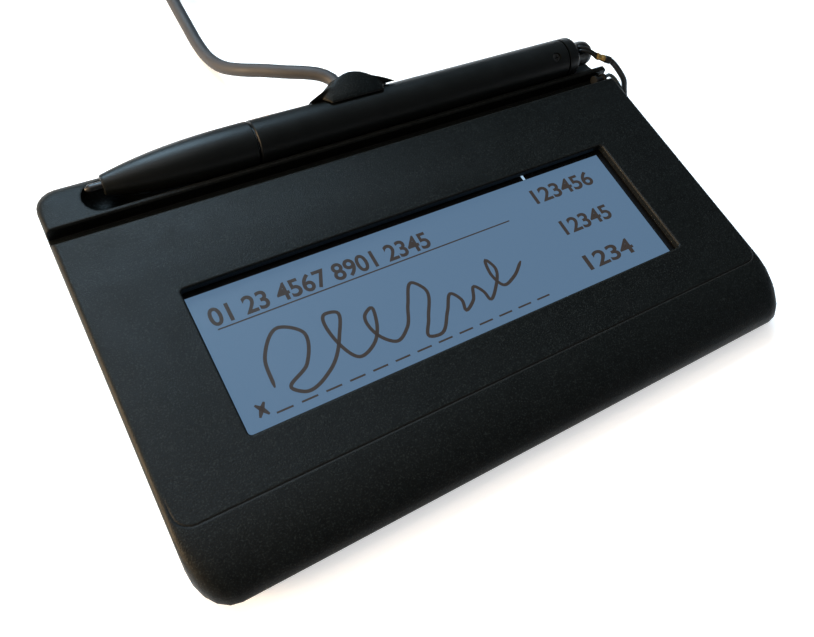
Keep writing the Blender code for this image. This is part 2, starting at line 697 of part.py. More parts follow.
def crease_line_mesh():
    """The fine line where the flat panel meets the rolled front, turning back at both ends."""
    reach = HALF_WIDTH - SIDE_EDGE - CREASE_CORNER
    path = [(HALF_WIDTH - SIDE_EDGE, CREASE_Y + CREASE_CORNER + CREASE_LINE_RUN, CREASE_LINE_RADIUS)]
    for step in range(CORNER_STEPS + 1):
        angle = math.pi / 2 * step / CORNER_STEPS
        path.append((reach + CREASE_CORNER * math.cos(angle), CREASE_Y + CREASE_CORNER * (1 - math.sin(angle)), 0))
    path += [(-x, y, z) for x, y, z in reversed(path)]
    return tube_mesh("crease_line", [Vector(point) for point in path], CREASE_LINE_RADIUS, resolution=1)


def screw_places():
    """Name and plan place of each case screw."""
    for depth, y in (("front", BOSS_FRONT_Y), ("rear", BOSS_REAR_Y)):
        for side, sign in (("left", -1), ("right", 1)):
            yield f"{depth}_{side}", sign * BOSS_X, y


def foot_places():
    """Name and plan place of each foot."""
    for depth, x, y in (("front", FOOT_FRONT_X, FOOT_FRONT_Y), ("rear", FOOT_REAR_X, FOOT_REAR_Y)):
        for side, sign in (("left", -1), ("right", 1)):
            yield f"{depth}_{side}", sign * x, y


def build_top_cover(lead_bore):
    """The upper shell: panel, rolled front, groove, rear bar, trough, window and screw bosses."""
    full = ((NOSE_CORNER_X, NOSE_CORNER_Y), (REAR_CORNER, REAR_CORNER))
    parting = plan_ring(HALF_WIDTH, NOSE_Y, REAR_Y, *full, lambda y: base_level(y, TRAY_HEIGHT + SEAT_GAP))
    rings = [parting] + [cover_ring(step / NOSE_STEPS) for step in range(1, NOSE_STEPS + 1)]
    cover = add_object("top_cover", ring_loft("top_cover", rings), CASE_BLACK, PANEL_FRAME)
    cut(cover, "cut_cavity_front", cavity_front_mesh(), PANEL_FRAME)
    groove_ceiling = -GROOVE_DEPTH - GROOVE_FLOOR
    trough_ceiling = PEN_AXIS_Z - TROUGH_RADIUS - TROUGH_WALL
    step_y = BAR_Y + SIDE_WALL
    under_groove = cavity_rear_mesh("cavity_groove", GROOVE_Y - SIDE_WALL - CAVITY_OVERLAP, step_y,
                                    groove_ceiling, PANEL_WALL)
    cut(cover, "cut_cavity_groove", under_groove, PANEL_FRAME)
    under_trough = cavity_rear_mesh("cavity_trough", step_y - CAVITY_OVERLAP, REAR_Y - SIDE_WALL,
                                    trough_ceiling, CAVITY_CORNER)
    cut(cover, "cut_cavity_trough", under_trough, PANEL_FRAME)
    for name, x, y in screw_places():
        foot = on_floor(x, y, FLOOR_BOSS_HEIGHT + SEAT_GAP)
        head = Vector((foot.x, foot.y, to_desk(x, y, -PANEL_WALL / 2).z))
        join(cover, f"join_boss_{name}", rod_mesh("boss", foot, head, BOSS_RADIUS))
        top = on_floor(x, y, FLOOR_BOSS_HEIGHT + SCREW_LENGTH)
        start = foot - Vector((0, 0, OVERRUN))
        cut(cover, f"cut_pilot_{name}", rod_mesh("pilot", start, top, SCREW_RADIUS + SEAT_GAP, sides=SMALL_SIDES))
    cut(cover, "cut_window", window_mesh(), PANEL_FRAME)
    cut(cover, "cut_groove", groove_mesh(), PANEL_FRAME)
    cut(cover, "cut_trough", trough_mesh(), PANEL_FRAME)
    cut(cover, "cut_crease_line", crease_line_mesh(), PANEL_FRAME)
    boolean(cover, lead_bore, "DIFFERENCE")
    return cover


def tray_ring(height, inset=0.0, nose_inset=None, draw=0.0, tuck=0.0):
    """An outline of the bottom cover at a height above its underside."""
    front = NOSE_Y + tuck + (inset if nose_inset is None else nose_inset)
    side = HALF_WIDTH - inset - draw
    corner = (NOSE_CORNER_X - inset, NOSE_CORNER_Y - inset)
    rear_corner = (REAR_CORNER - inset, REAR_CORNER - inset)
    return plan_ring(side, front, REAR_Y - inset - draw, corner, rear_corner, lambda y: base_level(y, height))


def build_bottom_cover(lead_bore):
    """The lower tray with its tucked front edge, joint tongue, screw pockets, foot pockets and posts."""
    rings = []
    for step in range(TUCK_STEPS + 1):
        angle = math.pi / 2 * step / TUCK_STEPS
        height = TRAY_HEIGHT * (1 - math.cos(angle))
        rings.append(tray_ring(height, draw=edge_inset(TRAY_EDGE, height), tuck=NOSE_TUCK * (1 - math.sin(angle))))
    outer = SIDE_WALL + SEAT_GAP
    inner = outer + TONGUE_WIDTH
    nose_inner = TONGUE_NOSE_INSET + TONGUE_WIDTH
    rings.append(tray_ring(TRAY_HEIGHT, outer, TONGUE_NOSE_INSET))
    rings.append(tray_ring(TRAY_HEIGHT + TONGUE_HEIGHT, outer, TONGUE_NOSE_INSET))
    rings.append(tray_ring(TRAY_HEIGHT + TONGUE_HEIGHT, inner, nose_inner))
    rings.append(tray_ring(FLOOR_WALL, inner, nose_inner))
    tray = add_object("bottom_cover", ring_loft("bottom_cover", rings), CASE_BLACK, PANEL_FRAME)
    for name, x, y in screw_places():
        low = on_floor(x, y, FLOOR_WALL / 2)
        high = on_floor(x, y, FLOOR_BOSS_HEIGHT)
        join(tray, f"join_floor_boss_{name}", rod_mesh("floor_boss", low, high, FLOOR_BOSS_RADIUS))
        mouth = on_floor(x, y, -OVERRUN)
        seat = on_floor(x, y, SCREW_HEAD_DEPTH + SCREW_HEAD_HEIGHT + SEAT_GAP)
        cut(tray, f"cut_head_{name}", rod_mesh("head", mouth, seat, SCREW_HEAD_RADIUS + SEAT_GAP))
        above = high + Vector((0, 0, OVERRUN))
        cut(tray, f"cut_shank_{name}", rod_mesh("shank", mouth, above, SCREW_RADIUS + SEAT_GAP, sides=SMALL_SIDES))
    for name, x, y in foot_places():
        mouth = on_floor(x, y, -OVERRUN)
        cut(tray, f"cut_foot_{name}", rod_mesh("pocket", mouth, on_floor(x, y, FOOT_POCKET), FOOT_RADIUS + SEAT_GAP))
    for x in (-1, 1):
        for y in (BOARD_FRONT_Y + BOARD_POST_INSET, BOARD_REAR_Y - BOARD_POST_INSET):
            place = x * (BOARD_WIDTH / 2 - BOARD_POST_INSET)
            low = on_floor(place, y, FLOOR_WALL / 2)
            high = on_floor(place, y, FLOOR_WALL + BOARD_POST_HEIGHT)
            join(tray, f"join_post_{place:.3f}_{y:.3f}", rod_mesh("post", low, high, BOARD_POST_RADIUS, sides=SMALL_SIDES))
    boolean(tray, lead_bore, "DIFFERENCE")
    return tray


def build_screws_and_feet():
    """Case screws in their pockets and rubber feet in theirs."""
    for name, x, y in screw_places():
        low = SCREW_HEAD_DEPTH
        seat = low + SCREW_HEAD_HEIGHT
        tip = FLOOR_BOSS_HEIGHT + SCREW_LENGTH - SEAT_GAP
        profile = (
            (0, tip), (SCREW_RADIUS / 2, tip), (SCREW_RADIUS, tip - SCREW_RADIUS), (SCREW_RADIUS, seat),
            (SCREW_HEAD_RADIUS, seat), (SCREW_HEAD_RADIUS, low + SCREW_HEAD_HEIGHT / 3),
            (SCREW_HEAD_RADIUS * 0.8, low), (0, low),
        )
        screw = turned_piece(f"case_screw_{name}", profile, STEEL, SMALL_SIDES, None)
        screw.location = on_floor(x, y)
    for name, x, y in foot_places():
        top = FOOT_POCKET - SEAT_GAP
        profile = (
            (0, top), (FOOT_RADIUS, top), (FOOT_RADIUS, 0), (FOOT_RADIUS - FOOT_TAPER, -FOOT_HEIGHT), (0, -FOOT_HEIGHT),
        )
        foot = turned_piece(f"foot_{name}", profile, RUBBER, ROUND_SIDES, None)
        foot.location = on_floor(x, y)


def plate(name, inset, rear_grow, top, thickness, material):
    """A flat piece of the display stack, below the window opening and overlapping it all round."""
    grow = DISPLAY_OVERLAP - inset
    half = WINDOW_WIDTH / 2 + grow
    corner = (WINDOW_CORNER, WINDOW_CORNER)
    mesh = ring_loft(name, [
        plan_ring(half, -grow, WINDOW_DEPTH + grow + rear_grow, corner, corner, z) for z in (top - thickness, top)
    ])
    return add_object(name, mesh, material, PANEL_FRAME)


def build_display():
    """Window plate, liquid crystal panel, backlight, digitiser board, shield and ribbon, stacked."""
    top = -PANEL_WALL - SEAT_GAP
    plate("display_window", 0, 0, top, WINDOW_PLATE, CLEAR)
    top -= WINDOW_PLATE + SEAT_GAP
    plate("display_panel", PANEL_INSET, 0, top, PANEL_GLASS, DISPLAY_BLUE)
    top -= PANEL_GLASS + SEAT_GAP
    plate("light_guide", GUIDE_INSET, 0, top, GUIDE_THICKNESS, GUIDE_WHITE)
    guide_end = WINDOW_WIDTH / 2 + SEAT_GAP
    strip = box_mesh("led_strip", (-guide_end - LED_STRIP_WIDTH, 0, top - GUIDE_THICKNESS),
                     (-guide_end, WINDOW_DEPTH, top))
    add_object("led_strip", strip, HEADER_WHITE, PANEL_FRAME)
    top -= GUIDE_THICKNESS + SEAT_GAP
    plate("sensor_board", 0, 0, top, SENSOR_THICKNESS, BOARD_GREEN)
    top -= SENSOR_THICKNESS + SEAT_GAP
    shield = plate("shield_plate", 0, 0, top, SHIELD_THICKNESS, STEEL)
    ribbon_top = top + SENSOR_THICKNESS + SEAT_GAP
    return shield, ribbon_top


def build_boards():
    """Main board on its posts, with chip, crystal, header and the lead's connector on it."""
    bottom = FLOOR_WALL + BOARD_POST_HEIGHT + SEAT_GAP
    top = bottom + BOARD_THICKNESS
    front = on_floor(0, BOARD_FRONT_Y).y
    rear = on_floor(0, BOARD_REAR_Y).y
    middle = (front + rear) / 2
    half = BOARD_WIDTH / 2

    def board_box(name, x_range, y_range, height_range, material, edge=0.0):
        low = (x_range[0], y_range[0], FOOT_HEIGHT + height_range[0])
        high = (x_range[1], y_range[1], FOOT_HEIGHT + height_range[1])
        add_object(name, box_mesh(name, low, high, edge), material)

    board_box("main_board", (-half, half), (front, rear), (bottom, top), BOARD_GREEN)
    seat = top + SEAT_GAP
    board_box("controller_chip", (CHIP_X - CHIP_SIZE / 2, CHIP_X + CHIP_SIZE / 2),
              (middle - CHIP_SIZE / 2, middle + CHIP_SIZE / 2), (seat, seat + CHIP_HEIGHT), CHIP_BLACK)
    board_box("clock_crystal", (CRYSTAL_X - CRYSTAL_WIDTH / 2, CRYSTAL_X + CRYSTAL_WIDTH / 2),
              (middle - CRYSTAL_LENGTH / 2, middle + CRYSTAL_LENGTH / 2), (seat, seat + CHIP_HEIGHT), STEEL,
              CRYSTAL_WIDTH / 8)
    header_front = rear - HEADER_DEPTH - CONNECTOR_DEPTH
    board_box("board_header", (-HEADER_WIDTH / 2, HEADER_WIDTH / 2), (header_front, header_front + HEADER_DEPTH),
              (seat, seat + HEADER_HEIGHT), HEADER_WHITE)
    plug_front = header_front + HEADER_DEPTH + SEAT_GAP
    board_box("lead_connector", (-CONNECTOR_WIDTH / 2, CONNECTOR_WIDTH / 2),
              (plug_front, plug_front + CONNECTOR_DEPTH), (seat, seat + CONNECTOR_HEIGHT), HEADER_WHITE)
    return front, seat


def build_ribbon(board_front, seat, ribbon_top):
    """The flat ribbon from the digitiser board's rear edge down onto the main board."""
    start_y = WINDOW_DEPTH + DISPLAY_OVERLAP + SEAT_GAP
    start = to_desk(0, start_y, ribbon_top - SENSOR_THICKNESS / 2)
    landing_y = board_front + HEADER_DEPTH
    landing_z = FOOT_HEIGHT + seat
    half = RIBBON_THICKNESS / 2
    path = (
        (start.y, start.z), (start.y + HEADER_DEPTH / 3, start.z - HEADER_DEPTH / 12),
        (landing_y - HEADER_DEPTH / 3, landing_z + half + HEADER_DEPTH / 12), (landing_y, landing_z + half),
        (landing_y + HEADER_DEPTH, landing_z + half),
    )
    upper = [(y, z + half) for y, z in path]
    lower = [(y, z - half) for y, z in reversed(path)]
    rings = []
    for x in (RIBBON_X - RIBBON_WIDTH / 2, RIBBON_X + RIBBON_WIDTH / 2):
        rings.append([(x, y, z) for y, z in upper + lower])
    add_object("display_ribbon", ring_loft("display_ribbon", rings), RIBBON_AMBER)


def mirrored_ring(middle, half_points):
    """A closed section from its half, given from the bottom to the top."""
    left = [(middle - across, y, z) for across, y, z in half_points]
    right = [(middle + across, y, z) for across, y, z in reversed(half_points[:-1])]
    return left + right


def hood_section(middle, shares):
    """A section of the hood at the depths that its shares give."""
    depth = HOOD_REAR_Y - HOOD_FACE_Y
    return mirrored_ring(middle, [(HOOD_HALF * across, HOOD_FACE_Y + depth * back, HOOD_BOTTOM_Z + HOOD_HEIGHT * up)
                                  for across, back, up in shares])


def build_hood(lead_bore):
    """The hood: a low hump with a sloping face over the pen, flanks beside it and a falling back for the lead."""
    face = [(HOOD_FACE_HALF * across, HOOD_FACE_Y + HOOD_FACE_SLANT * up * math.sin(HOOD_FACE_TILT),
             HOOD_FACE_Z + HOOD_FACE_SLANT * up * math.cos(HOOD_FACE_TILT)) for across, up in FACE_SHARES]
    rear = [(HOOD_HALF * across, HOOD_REAR_Y - HOOD_REAR_LEAN * up, HOOD_BOTTOM_Z + HOOD_HEIGHT * up)
            for across, up in REAR_SHARES]
    rings = [
        mirrored_ring(HOOD_X, face),
        hood_section(HOOD_X, VALLEY_SHARES),
        hood_section(HOOD_X, FLANK_SHARES),
        hood_section(HOOD_X / 2, WAIST_SHARES),
        mirrored_ring(0, rear),
    ]
    hood = add_object("cable_hood", ring_loft("cable_hood", rings, triangles=True), CASE_BLACK, PANEL_FRAME)
    reach = HOOD_HALF + OVERRUN
    channel = PEN_RADIUS + HOOD_CLEARANCE
    cut(hood, "cut_hood_channel", rod_mesh("hood_channel", (-reach, PEN_AXIS_Y, PEN_AXIS_Z),
                                           (reach, PEN_AXIS_Y, PEN_AXIS_Z), channel, sides=PEN_SIDES * 2), PANEL_FRAME)
    channel_front = PEN_AXIS_Y - channel
    cut(hood, "cut_hood_behind_pen", box_mesh("behind_pen", (-reach, channel_front, HOOD_SEAT_Z),
                                              (reach, PEN_AXIS_Y + channel, PEN_AXIS_Z)), PANEL_FRAME)
    cut(hood, "cut_hood_wall", box_mesh("hood_wall", (-reach, channel_front, HOOD_BOTTOM_Z - OVERRUN),
                                        (reach, REAR_Y + SEAT_GAP, HOOD_SEAT_Z + SEAT_GAP)), PANEL_FRAME)
    boolean(hood, lead_bore, "DIFFERENCE")
    mouth = (0, HOOD_REAR_Y - GROMMET_LENGTH, LEAD_EXIT_Z)
    outside = (0, HOOD_REAR_Y + OVERRUN, LEAD_EXIT_Z)
    bore = LEAD_RADIUS + LEAD_CLEARANCE + GROMMET_WALL + SEAT_GAP
    cut(hood, "cut_hood_mouth", rod_mesh("hood_mouth", mouth, outside, bore), PANEL_FRAME)


def turned_along_x(name, profile, material, sides, y, z, closed=False):
    """A turned piece of the pen, its profile given as (radius, x) from the tail to the nib."""
    piece = turned_piece(name, profile, material, sides, PANEL_FRAME, closed)
    piece.rotation_euler = (0, math.pi / 2, 0)
    piece.location = (0, y, z)
    return piece


def build_lead():
    """Grommet, inner lead and its tie. The inner lead turns down out of the hood into the housing."""
    inside = LEAD_RADIUS + LEAD_CLEARANCE
    outside = inside + GROMMET_WALL
    front = -GROMMET_LENGTH + SEAT_GAP
    profile = (
        (inside, -GROMMET_SINK), (outside - GROMMET_WALL / 4, -GROMMET_SINK), (outside, -GROMMET_SINK - GROMMET_WALL / 4),
        (outside, front), (inside, front),
    )
    grommet = turned_piece("cable_grommet", profile, RUBBER, ROUND_SIDES, PANEL_FRAME, closed=True)
    grommet.rotation_euler = (-math.pi / 2, 0, 0)
    grommet.location = (0, HOOD_REAR_Y, LEAD_EXIT_Z)
    route = smooth_route(INNER_POINTS, LEAD_RADIUS)
    add_object("inner_lead", tube_curve("inner_lead", route, LEAD_RADIUS), LEAD_GREY, PANEL_FRAME)
    tie_inside = LEAD_RADIUS + SEAT_GAP
    tie_profile = (
        (tie_inside, LEAD_TIE_WIDTH / 2), (tie_inside + LEAD_TIE_WALL, LEAD_TIE_WIDTH / 2),
        (tie_inside + LEAD_TIE_WALL, -LEAD_TIE_WIDTH / 2), (tie_inside, -LEAD_TIE_WIDTH / 2),
    )
    tie = turned_piece("lead_tie", tie_profile, HEADER_WHITE, ROUND_SIDES, PANEL_FRAME, closed=True)
    place = round(LEAD_TIE_SHARE * (len(route) - 1))
    run = route[place + 1] - route[place - 1]
    tie.rotation_euler = run.to_track_quat("Z", "Y").to_euler()
    tie.location = route[place]


def nose_radius(share):
    """Radius of the pen's nose at a share of its length from the nib."""
    return NOSE_TIP_RADIUS + (PEN_RADIUS - NOSE_TIP_RADIUS) * (1 - (1 - share) ** NOSE_OGIVE_POWER)


def build_pen():
    """Nib, nose, barrel, end cap with its lug, screw and the core rod inside."""
    bore = PEN_RADIUS - PEN_WALL
    stem_end = NIB_TIP_X + NIB_STEM_LENGTH
    nib_profile = ((0, stem_end), (NIB_RADIUS, stem_end), (NIB_RADIUS, NIB_TIP_X + NIB_POINT),
                   (NIB_RADIUS * 0.7, NIB_TIP_X + NIB_POINT / 4), (0, NIB_TIP_X))
    turned_along_x("pen_nib", nib_profile, STEEL, SMALL_SIDES, PEN_AXIS_Y, PEN_AXIS_Z)

    nose_length = NOSE_END_X - NOSE_START_X
    outer = []
    for step in range(NOSE_STATIONS, -1, -1):
        share = (step / NOSE_STATIONS) ** 1.5
        outer.append((nose_radius(share), NOSE_START_X + nose_length * share))
    nib_hole = NIB_RADIUS + SEAT_GAP
    inner_start = NOSE_START_X + nose_length / 4
    inner = [(nib_hole, NOSE_START_X), (nib_hole, inner_start), (nose_radius(0.5) - PEN_WALL, inner_start + nose_length / 4),
             (bore, NOSE_END_X)]
    turned_along_x("pen_nose", outer + inner, PEN_BLACK, PEN_SIDES, PEN_AXIS_Y, PEN_AXIS_Z, closed=True)

    barrel_start = NOSE_END_X + SEAT_GAP
    barrel_profile = ((bore, BARREL_END_X), (PEN_RADIUS, BARREL_END_X), (PEN_RADIUS, barrel_start), (bore, barrel_start))
    barrel = turned_along_x("pen_barrel", barrel_profile, PEN_BLACK, PEN_SIDES, PEN_AXIS_Y, PEN_AXIS_Z, closed=True)
    core_start = stem_end + SEAT_GAP
    core_end = BARREL_END_X - CAP_SPIGOT_LENGTH - CORE_RETREAT
    core_radius = bore - SEAT_GAP
    core_profile = ((0, core_end), (core_radius, core_end), (core_radius, barrel_start),
                    (CORE_TIP_RADIUS, core_start), (0, core_start))
    turned_along_x("pen_core", core_profile, STEEL, ROUND_SIDES, PEN_AXIS_Y, PEN_AXIS_Z)
    build_end_cap(bore)
    build_pen_screw(barrel)


def around_pen(x, sideways, out):
    """A panel-frame point beside the pen, in the frame of the cap's slot."""
    across = Vector((0, math.sin(CAP_SLOT_TURN), -math.cos(CAP_SLOT_TURN)))
    outward = Vector((0, math.cos(CAP_SLOT_TURN), math.sin(CAP_SLOT_TURN)))
    return Vector((x, PEN_AXIS_Y, PEN_AXIS_Z)) + across * sideways + outward * out


def build_end_cap(bore):
    """The end cap on its spigot, narrowed to a rounded knob with a slot that holds the tether's loop."""
    spigot = bore - SEAT_GAP
    seat = BARREL_END_X + SEAT_GAP
    profile = list(CAP_PROFILE)
    profile += [(PEN_RADIUS, seat), (spigot, seat), (spigot, BARREL_END_X - CAP_SPIGOT_LENGTH),
                (0, BARREL_END_X - CAP_SPIGOT_LENGTH)]
    cap = turned_along_x("pen_end_cap", profile, PEN_BLACK, PEN_SIDES, PEN_AXIS_Y, PEN_AXIS_Z)
    half_length = CAP_SLOT_LENGTH / 2
    half_width = CAP_SLOT_WIDTH / 2
    slot = box_mesh("slot", (-half_length, -half_width, CAP_SLOT_BOTTOM), (half_length, half_width, PEN_RADIUS + OVERRUN))
    tool = cut(cap, "cut_loop_slot", slot, PANEL_FRAME)
    tool.rotation_euler = (CAP_SLOT_TURN - math.pi / 2, 0, 0)
    tool.location = (CAP_SLOT_X, PEN_AXIS_Y, PEN_AXIS_Z)


def build_pen_screw(barrel):
    """The small screw near the barrel's tail, sunk in its own pocket."""
    out = Vector((0, math.cos(PEN_SCREW_TURN), math.sin(PEN_SCREW_TURN)))
    axis = Vector((PEN_SCREW_X, PEN_AXIS_Y, PEN_AXIS_Z))
    face = axis + out * (PEN_RADIUS - PEN_SCREW_SINK)
    seat = axis + out * (PEN_RADIUS - PEN_WALL + SEAT_GAP)
    pocket = rod_mesh("pocket", seat, axis + out * (PEN_RADIUS + OVERRUN), PEN_SCREW_RADIUS + SEAT_GAP, sides=SMALL_SIDES)
    cut(barrel, "cut_screw_pocket", pocket, PANEL_FRAME)
    screw = rod_mesh("pen_screw", seat + out * (SEAT_GAP / 3), face, PEN_SCREW_RADIUS, sides=SMALL_SIDES)
    add_object("pen_screw", screw, STEEL, PANEL_FRAME)


def build_tether():
    """Loop through the lug, brass ferrule, sleeve, thick cord, crimp, thin cord and its anchor."""
    cord = smooth_route(TETHER_ROUTE, TETHER_SPACING)
    start_run = (cord[0] - cord[1]).normalized()
    sleeve_end = cord[0] + start_run * SEAT_GAP
    sleeve_start = sleeve_end + start_run * SLEEVE_LENGTH
    ferrule_end = sleeve_start + start_run * SEAT_GAP
    ferrule_start = ferrule_end + start_run * FERRULE_LENGTH
    add_object("tether_sleeve", rod_mesh("tether_sleeve", sleeve_start, sleeve_end, SLEEVE_RADIUS, sides=SMALL_SIDES),
               CORD_BLACK)
    add_object("tether_ferrule", rod_mesh("tether_ferrule", ferrule_start, ferrule_end, FERRULE_RADIUS,
                                          sides=SMALL_SIDES), BRASS)
    mouth = ferrule_start + start_run * SEAT_GAP
    side = PANEL_TO_DESK.to_3x3() @ (around_pen(0, 1, 0) - around_pen(0, 0, 0))
    side = (side - start_run * side.dot(start_run)).normalized() * LOOP_MOUTH_SPREAD
    strands = []
    for sign in (1, -1):
        strand = [mouth + side * sign, mouth + side * sign + start_run * 2 * LOOP_RADIUS]
        for x, middle, out, half in reversed(LOOP_ROUTE):
            strand.append(PANEL_TO_DESK @ around_pen(x, middle + half * sign, out))
        strands.append(strand)
    bottom = PANEL_TO_DESK @ around_pen(CAP_SLOT_X, 0, LOOP_BOTTOM)
    loop = smooth_route(strands[0] + [bottom] + list(reversed(strands[1])), LOOP_RADIUS)
    add_object("tether_loop", tube_curve("tether_loop", loop, LOOP_RADIUS), CORD_BLACK)
    add_object("tether_cord", tube_curve("tether_cord", cord, TETHER_RADIUS), CORD_BLACK)

    thin = smooth_route(RETURN_ROUTE, RETURN_SPACING)
    add_object("tether_return", tube_curve("tether_return", thin, RETURN_RADIUS), CORD_GREY)
    run = (thin[0] - cord[-1]).normalized()
    crimp = rod_mesh("tether_crimp", cord[-1] + run * SEAT_GAP, thin[0] - run * SEAT_GAP, CRIMP_RADIUS, sides=SMALL_SIDES)
    add_object("tether_crimp", crimp, BRASS)
    far_x = ANCHOR_END_X
    near_x = far_x - ANCHOR_LENGTH
    flange = ANCHOR_RADIUS - ANCHOR_FLANGE
    profile = ((0, far_x), (ANCHOR_RADIUS, far_x), (ANCHOR_RADIUS, far_x - ANCHOR_FLANGE),
               (flange, far_x - ANCHOR_FLANGE), (flange, near_x + ANCHOR_FLANGE), (ANCHOR_RADIUS, near_x + ANCHOR_FLANGE),
               (ANCHOR_RADIUS, near_x), (0, near_x))
    turned_along_x("tether_anchor", profile, RUBBER, SMALL_SIDES, (GROOVE_Y + BAR_Y) / 2, ANCHOR_Z)
    print(f"tether_cord length {route_length(cord):.4f} m, tether_return length {route_length(thin):.4f} m")


def coil_points():
    """The wound lead: it spirals in and out at a steady rate and climbs a layer at each reversal,
    within half a turn. It starts at the outside of the lowest layer."""
    outer = COIL_MEAN_RADIUS + COIL_PITCH * TURNS_PER_LAYER / 2
    bottom = 2 * TIE_CLEARANCE + TIE_THICKNESS - SEAT_GAP + LEAD_RADIUS
    points = []
    steps = round(COIL_LAYERS * TURNS_PER_LAYER * POINTS_PER_TURN)
    for step in range(steps + 1):
        turns = step / POINTS_PER_TURN
        layer = min(int(turns / TURNS_PER_LAYER), COIL_LAYERS - 1)
        along = turns - layer * TURNS_PER_LAYER
        share = along / TURNS_PER_LAYER
        radius = outer - COIL_PITCH * TURNS_PER_LAYER * (share if layer % 2 == 0 else 1 - share)
        level = layer
        from_reversal = min((along, layer), (TURNS_PER_LAYER - along, layer + 1))
        if from_reversal[0] < CLIMB_HALF_TURN and 0 < from_reversal[1] < COIL_LAYERS:
            signed = along if from_reversal[1] == layer else -from_reversal[0]
            level = from_reversal[1] - 0.5 + 0.5 * math.sin(math.pi / 2 * signed / CLIMB_HALF_TURN)
        angle = math.tau * turns
        points.append(Vector((COIL_X - radius * math.cos(angle), COIL_Y + radius * math.sin(angle),
                              bottom + COIL_PITCH * level)))
    return points


def least_self_gap(points, diameter, skip):
    """The least air between stretches of one tube, measured on its points."""
    least = math.inf
    for index, point in enumerate(points):
        for other in points[index + skip:]:
            least = min(least, (point - other).length)
    return least - diameter


def build_usb_lead():
    """Free stretch, coil, tail, tie and plug."""
    straight = 2 * LEAD_RADIUS
    coil = coil_points()
    entry = coil[0]
    exit_run = (coil[-1] - coil[-2]).normalized()
    exit_run.z = 0
    wound = [entry - Vector((0, straight, 0))] + coil + [coil[-1] + exit_run * straight]
    add_object("usb_cable_coil", tube_curve("usb_cable_coil", wound, LEAD_RADIUS, resolution=1), LEAD_GREY)
    print(f"coil least self gap {least_self_gap(wound, straight, POINTS_PER_TURN // 2) * 1000:.3f} mm")

    free_end = wound[0] - Vector((0, SEAT_GAP, 0))
    free = smooth_route(LEAD_ROUTE + (free_end - Vector((0, straight, 0)), free_end), LEAD_SPACING)
    add_object("usb_cable", tube_curve("usb_cable", free, LEAD_RADIUS), LEAD_GREY)
    tail = smooth_route(tail_knots(wound[-1] + exit_run * SEAT_GAP, exit_run), LEAD_SPACING)
    add_object("usb_cable_tail", tube_curve("usb_cable_tail", tail, LEAD_RADIUS), LEAD_GREY)
    lengths = [route_length(run) for run in (free, wound, tail)]
    print(f"lead: free {lengths[0]:.3f}, coil {lengths[1]:.3f}, tail {lengths[2]:.3f}, in all {sum(lengths):.3f} m")
    build_plug(tail[-1])
    build_tie()


def smooth_share(share):
    """A share from 0 to 1 with a level start and end."""
    held = min(max(share, 0.0), 1.0)
    return held * held * (3 - 2 * held)


def tail_knots(start, run):
    """The tail's way: down round the outside of the coil and over the incoming lead to the coil's left,
    then a quarter bend to the plug behind it."""
    outer = COIL_MEAN_RADIUS + COIL_PITCH * TURNS_PER_LAYER / 2 + 2 * LEAD_RADIUS + TAIL_GAP
    first = math.atan2(start.y - COIL_Y, COIL_X - start.x)
    rear = COIL_Y + outer + PLUG_GRIP_WIDTH / 2
    bend_y = rear - TAIL_BEND_RADIUS
    bend_x = COIL_X - outer + TAIL_BEND_RADIUS
    plan = []
    for step in range(1, TAIL_STATIONS + 1):
        angle = first * (1 - step / TAIL_STATIONS)
        plan.append(Vector((COIL_X - outer * math.cos(angle), COIL_Y + outer * math.sin(angle), 0)))
    plan.append(Vector((COIL_X - outer, (COIL_Y + bend_y) / 2, 0)))
    fall_length = TAIL_FLOOR_SHARE * (outer * abs(first) + bend_y - COIL_Y)
    knots = [start, start + run * 2 * LEAD_RADIUS]
    travelled = 0.0
    for point in plan:
        travelled += (point.xy - knots[-1].xy).length
        level = start.z + (LEAD_RADIUS - start.z) * smooth_share(travelled / fall_length)
        knots.append(Vector((point.x, point.y, level)))
    for step in range(TAIL_BEND_STATIONS + 1):
        share = step / TAIL_BEND_STATIONS
        angle = math.pi / 2 * share
        level = LEAD_RADIUS + (PLUG_GRIP_HEIGHT / 2 - LEAD_RADIUS) * smooth_share(share)
        knots.append(Vector((bend_x - TAIL_BEND_RADIUS * math.cos(angle),
                             bend_y + TAIL_BEND_RADIUS * math.sin(angle), level)))
    knots.append(knots[-1] + Vector((2 * LEAD_RADIUS, 0, 0)))
    return knots


def build_tie():
    """A strap round the coil's bundle, on the side away from the incoming lead."""
    half_radial = COIL_PITCH * TURNS_PER_LAYER / 2 + LEAD_RADIUS + 2 * TIE_CLEARANCE
    low = TIE_CLEARANCE
    bottom = TIE_THICKNESS + 2 * TIE_CLEARANCE - SEAT_GAP
    high = bottom + COIL_PITCH * (COIL_LAYERS - 1) + 2 * LEAD_RADIUS + TIE_CLEARANCE
    middle = COIL_X + COIL_MEAN_RADIUS
    width = TIE_WIDTH / 2
    outside = box_mesh("coil_tie", (middle - half_radial - TIE_THICKNESS, COIL_Y - width, low - TIE_CLEARANCE),
                       (middle + half_radial + TIE_THICKNESS, COIL_Y + width, high + TIE_THICKNESS))
    tie = add_object("coil_tie", outside, RUBBER)
    inside = box_mesh("tie_inside", (middle - half_radial, COIL_Y - width - OVERRUN, low - TIE_CLEARANCE + TIE_THICKNESS),
                      (middle + half_radial, COIL_Y + width + OVERRUN, high))
    cut(tie, "cut_tie", inside)


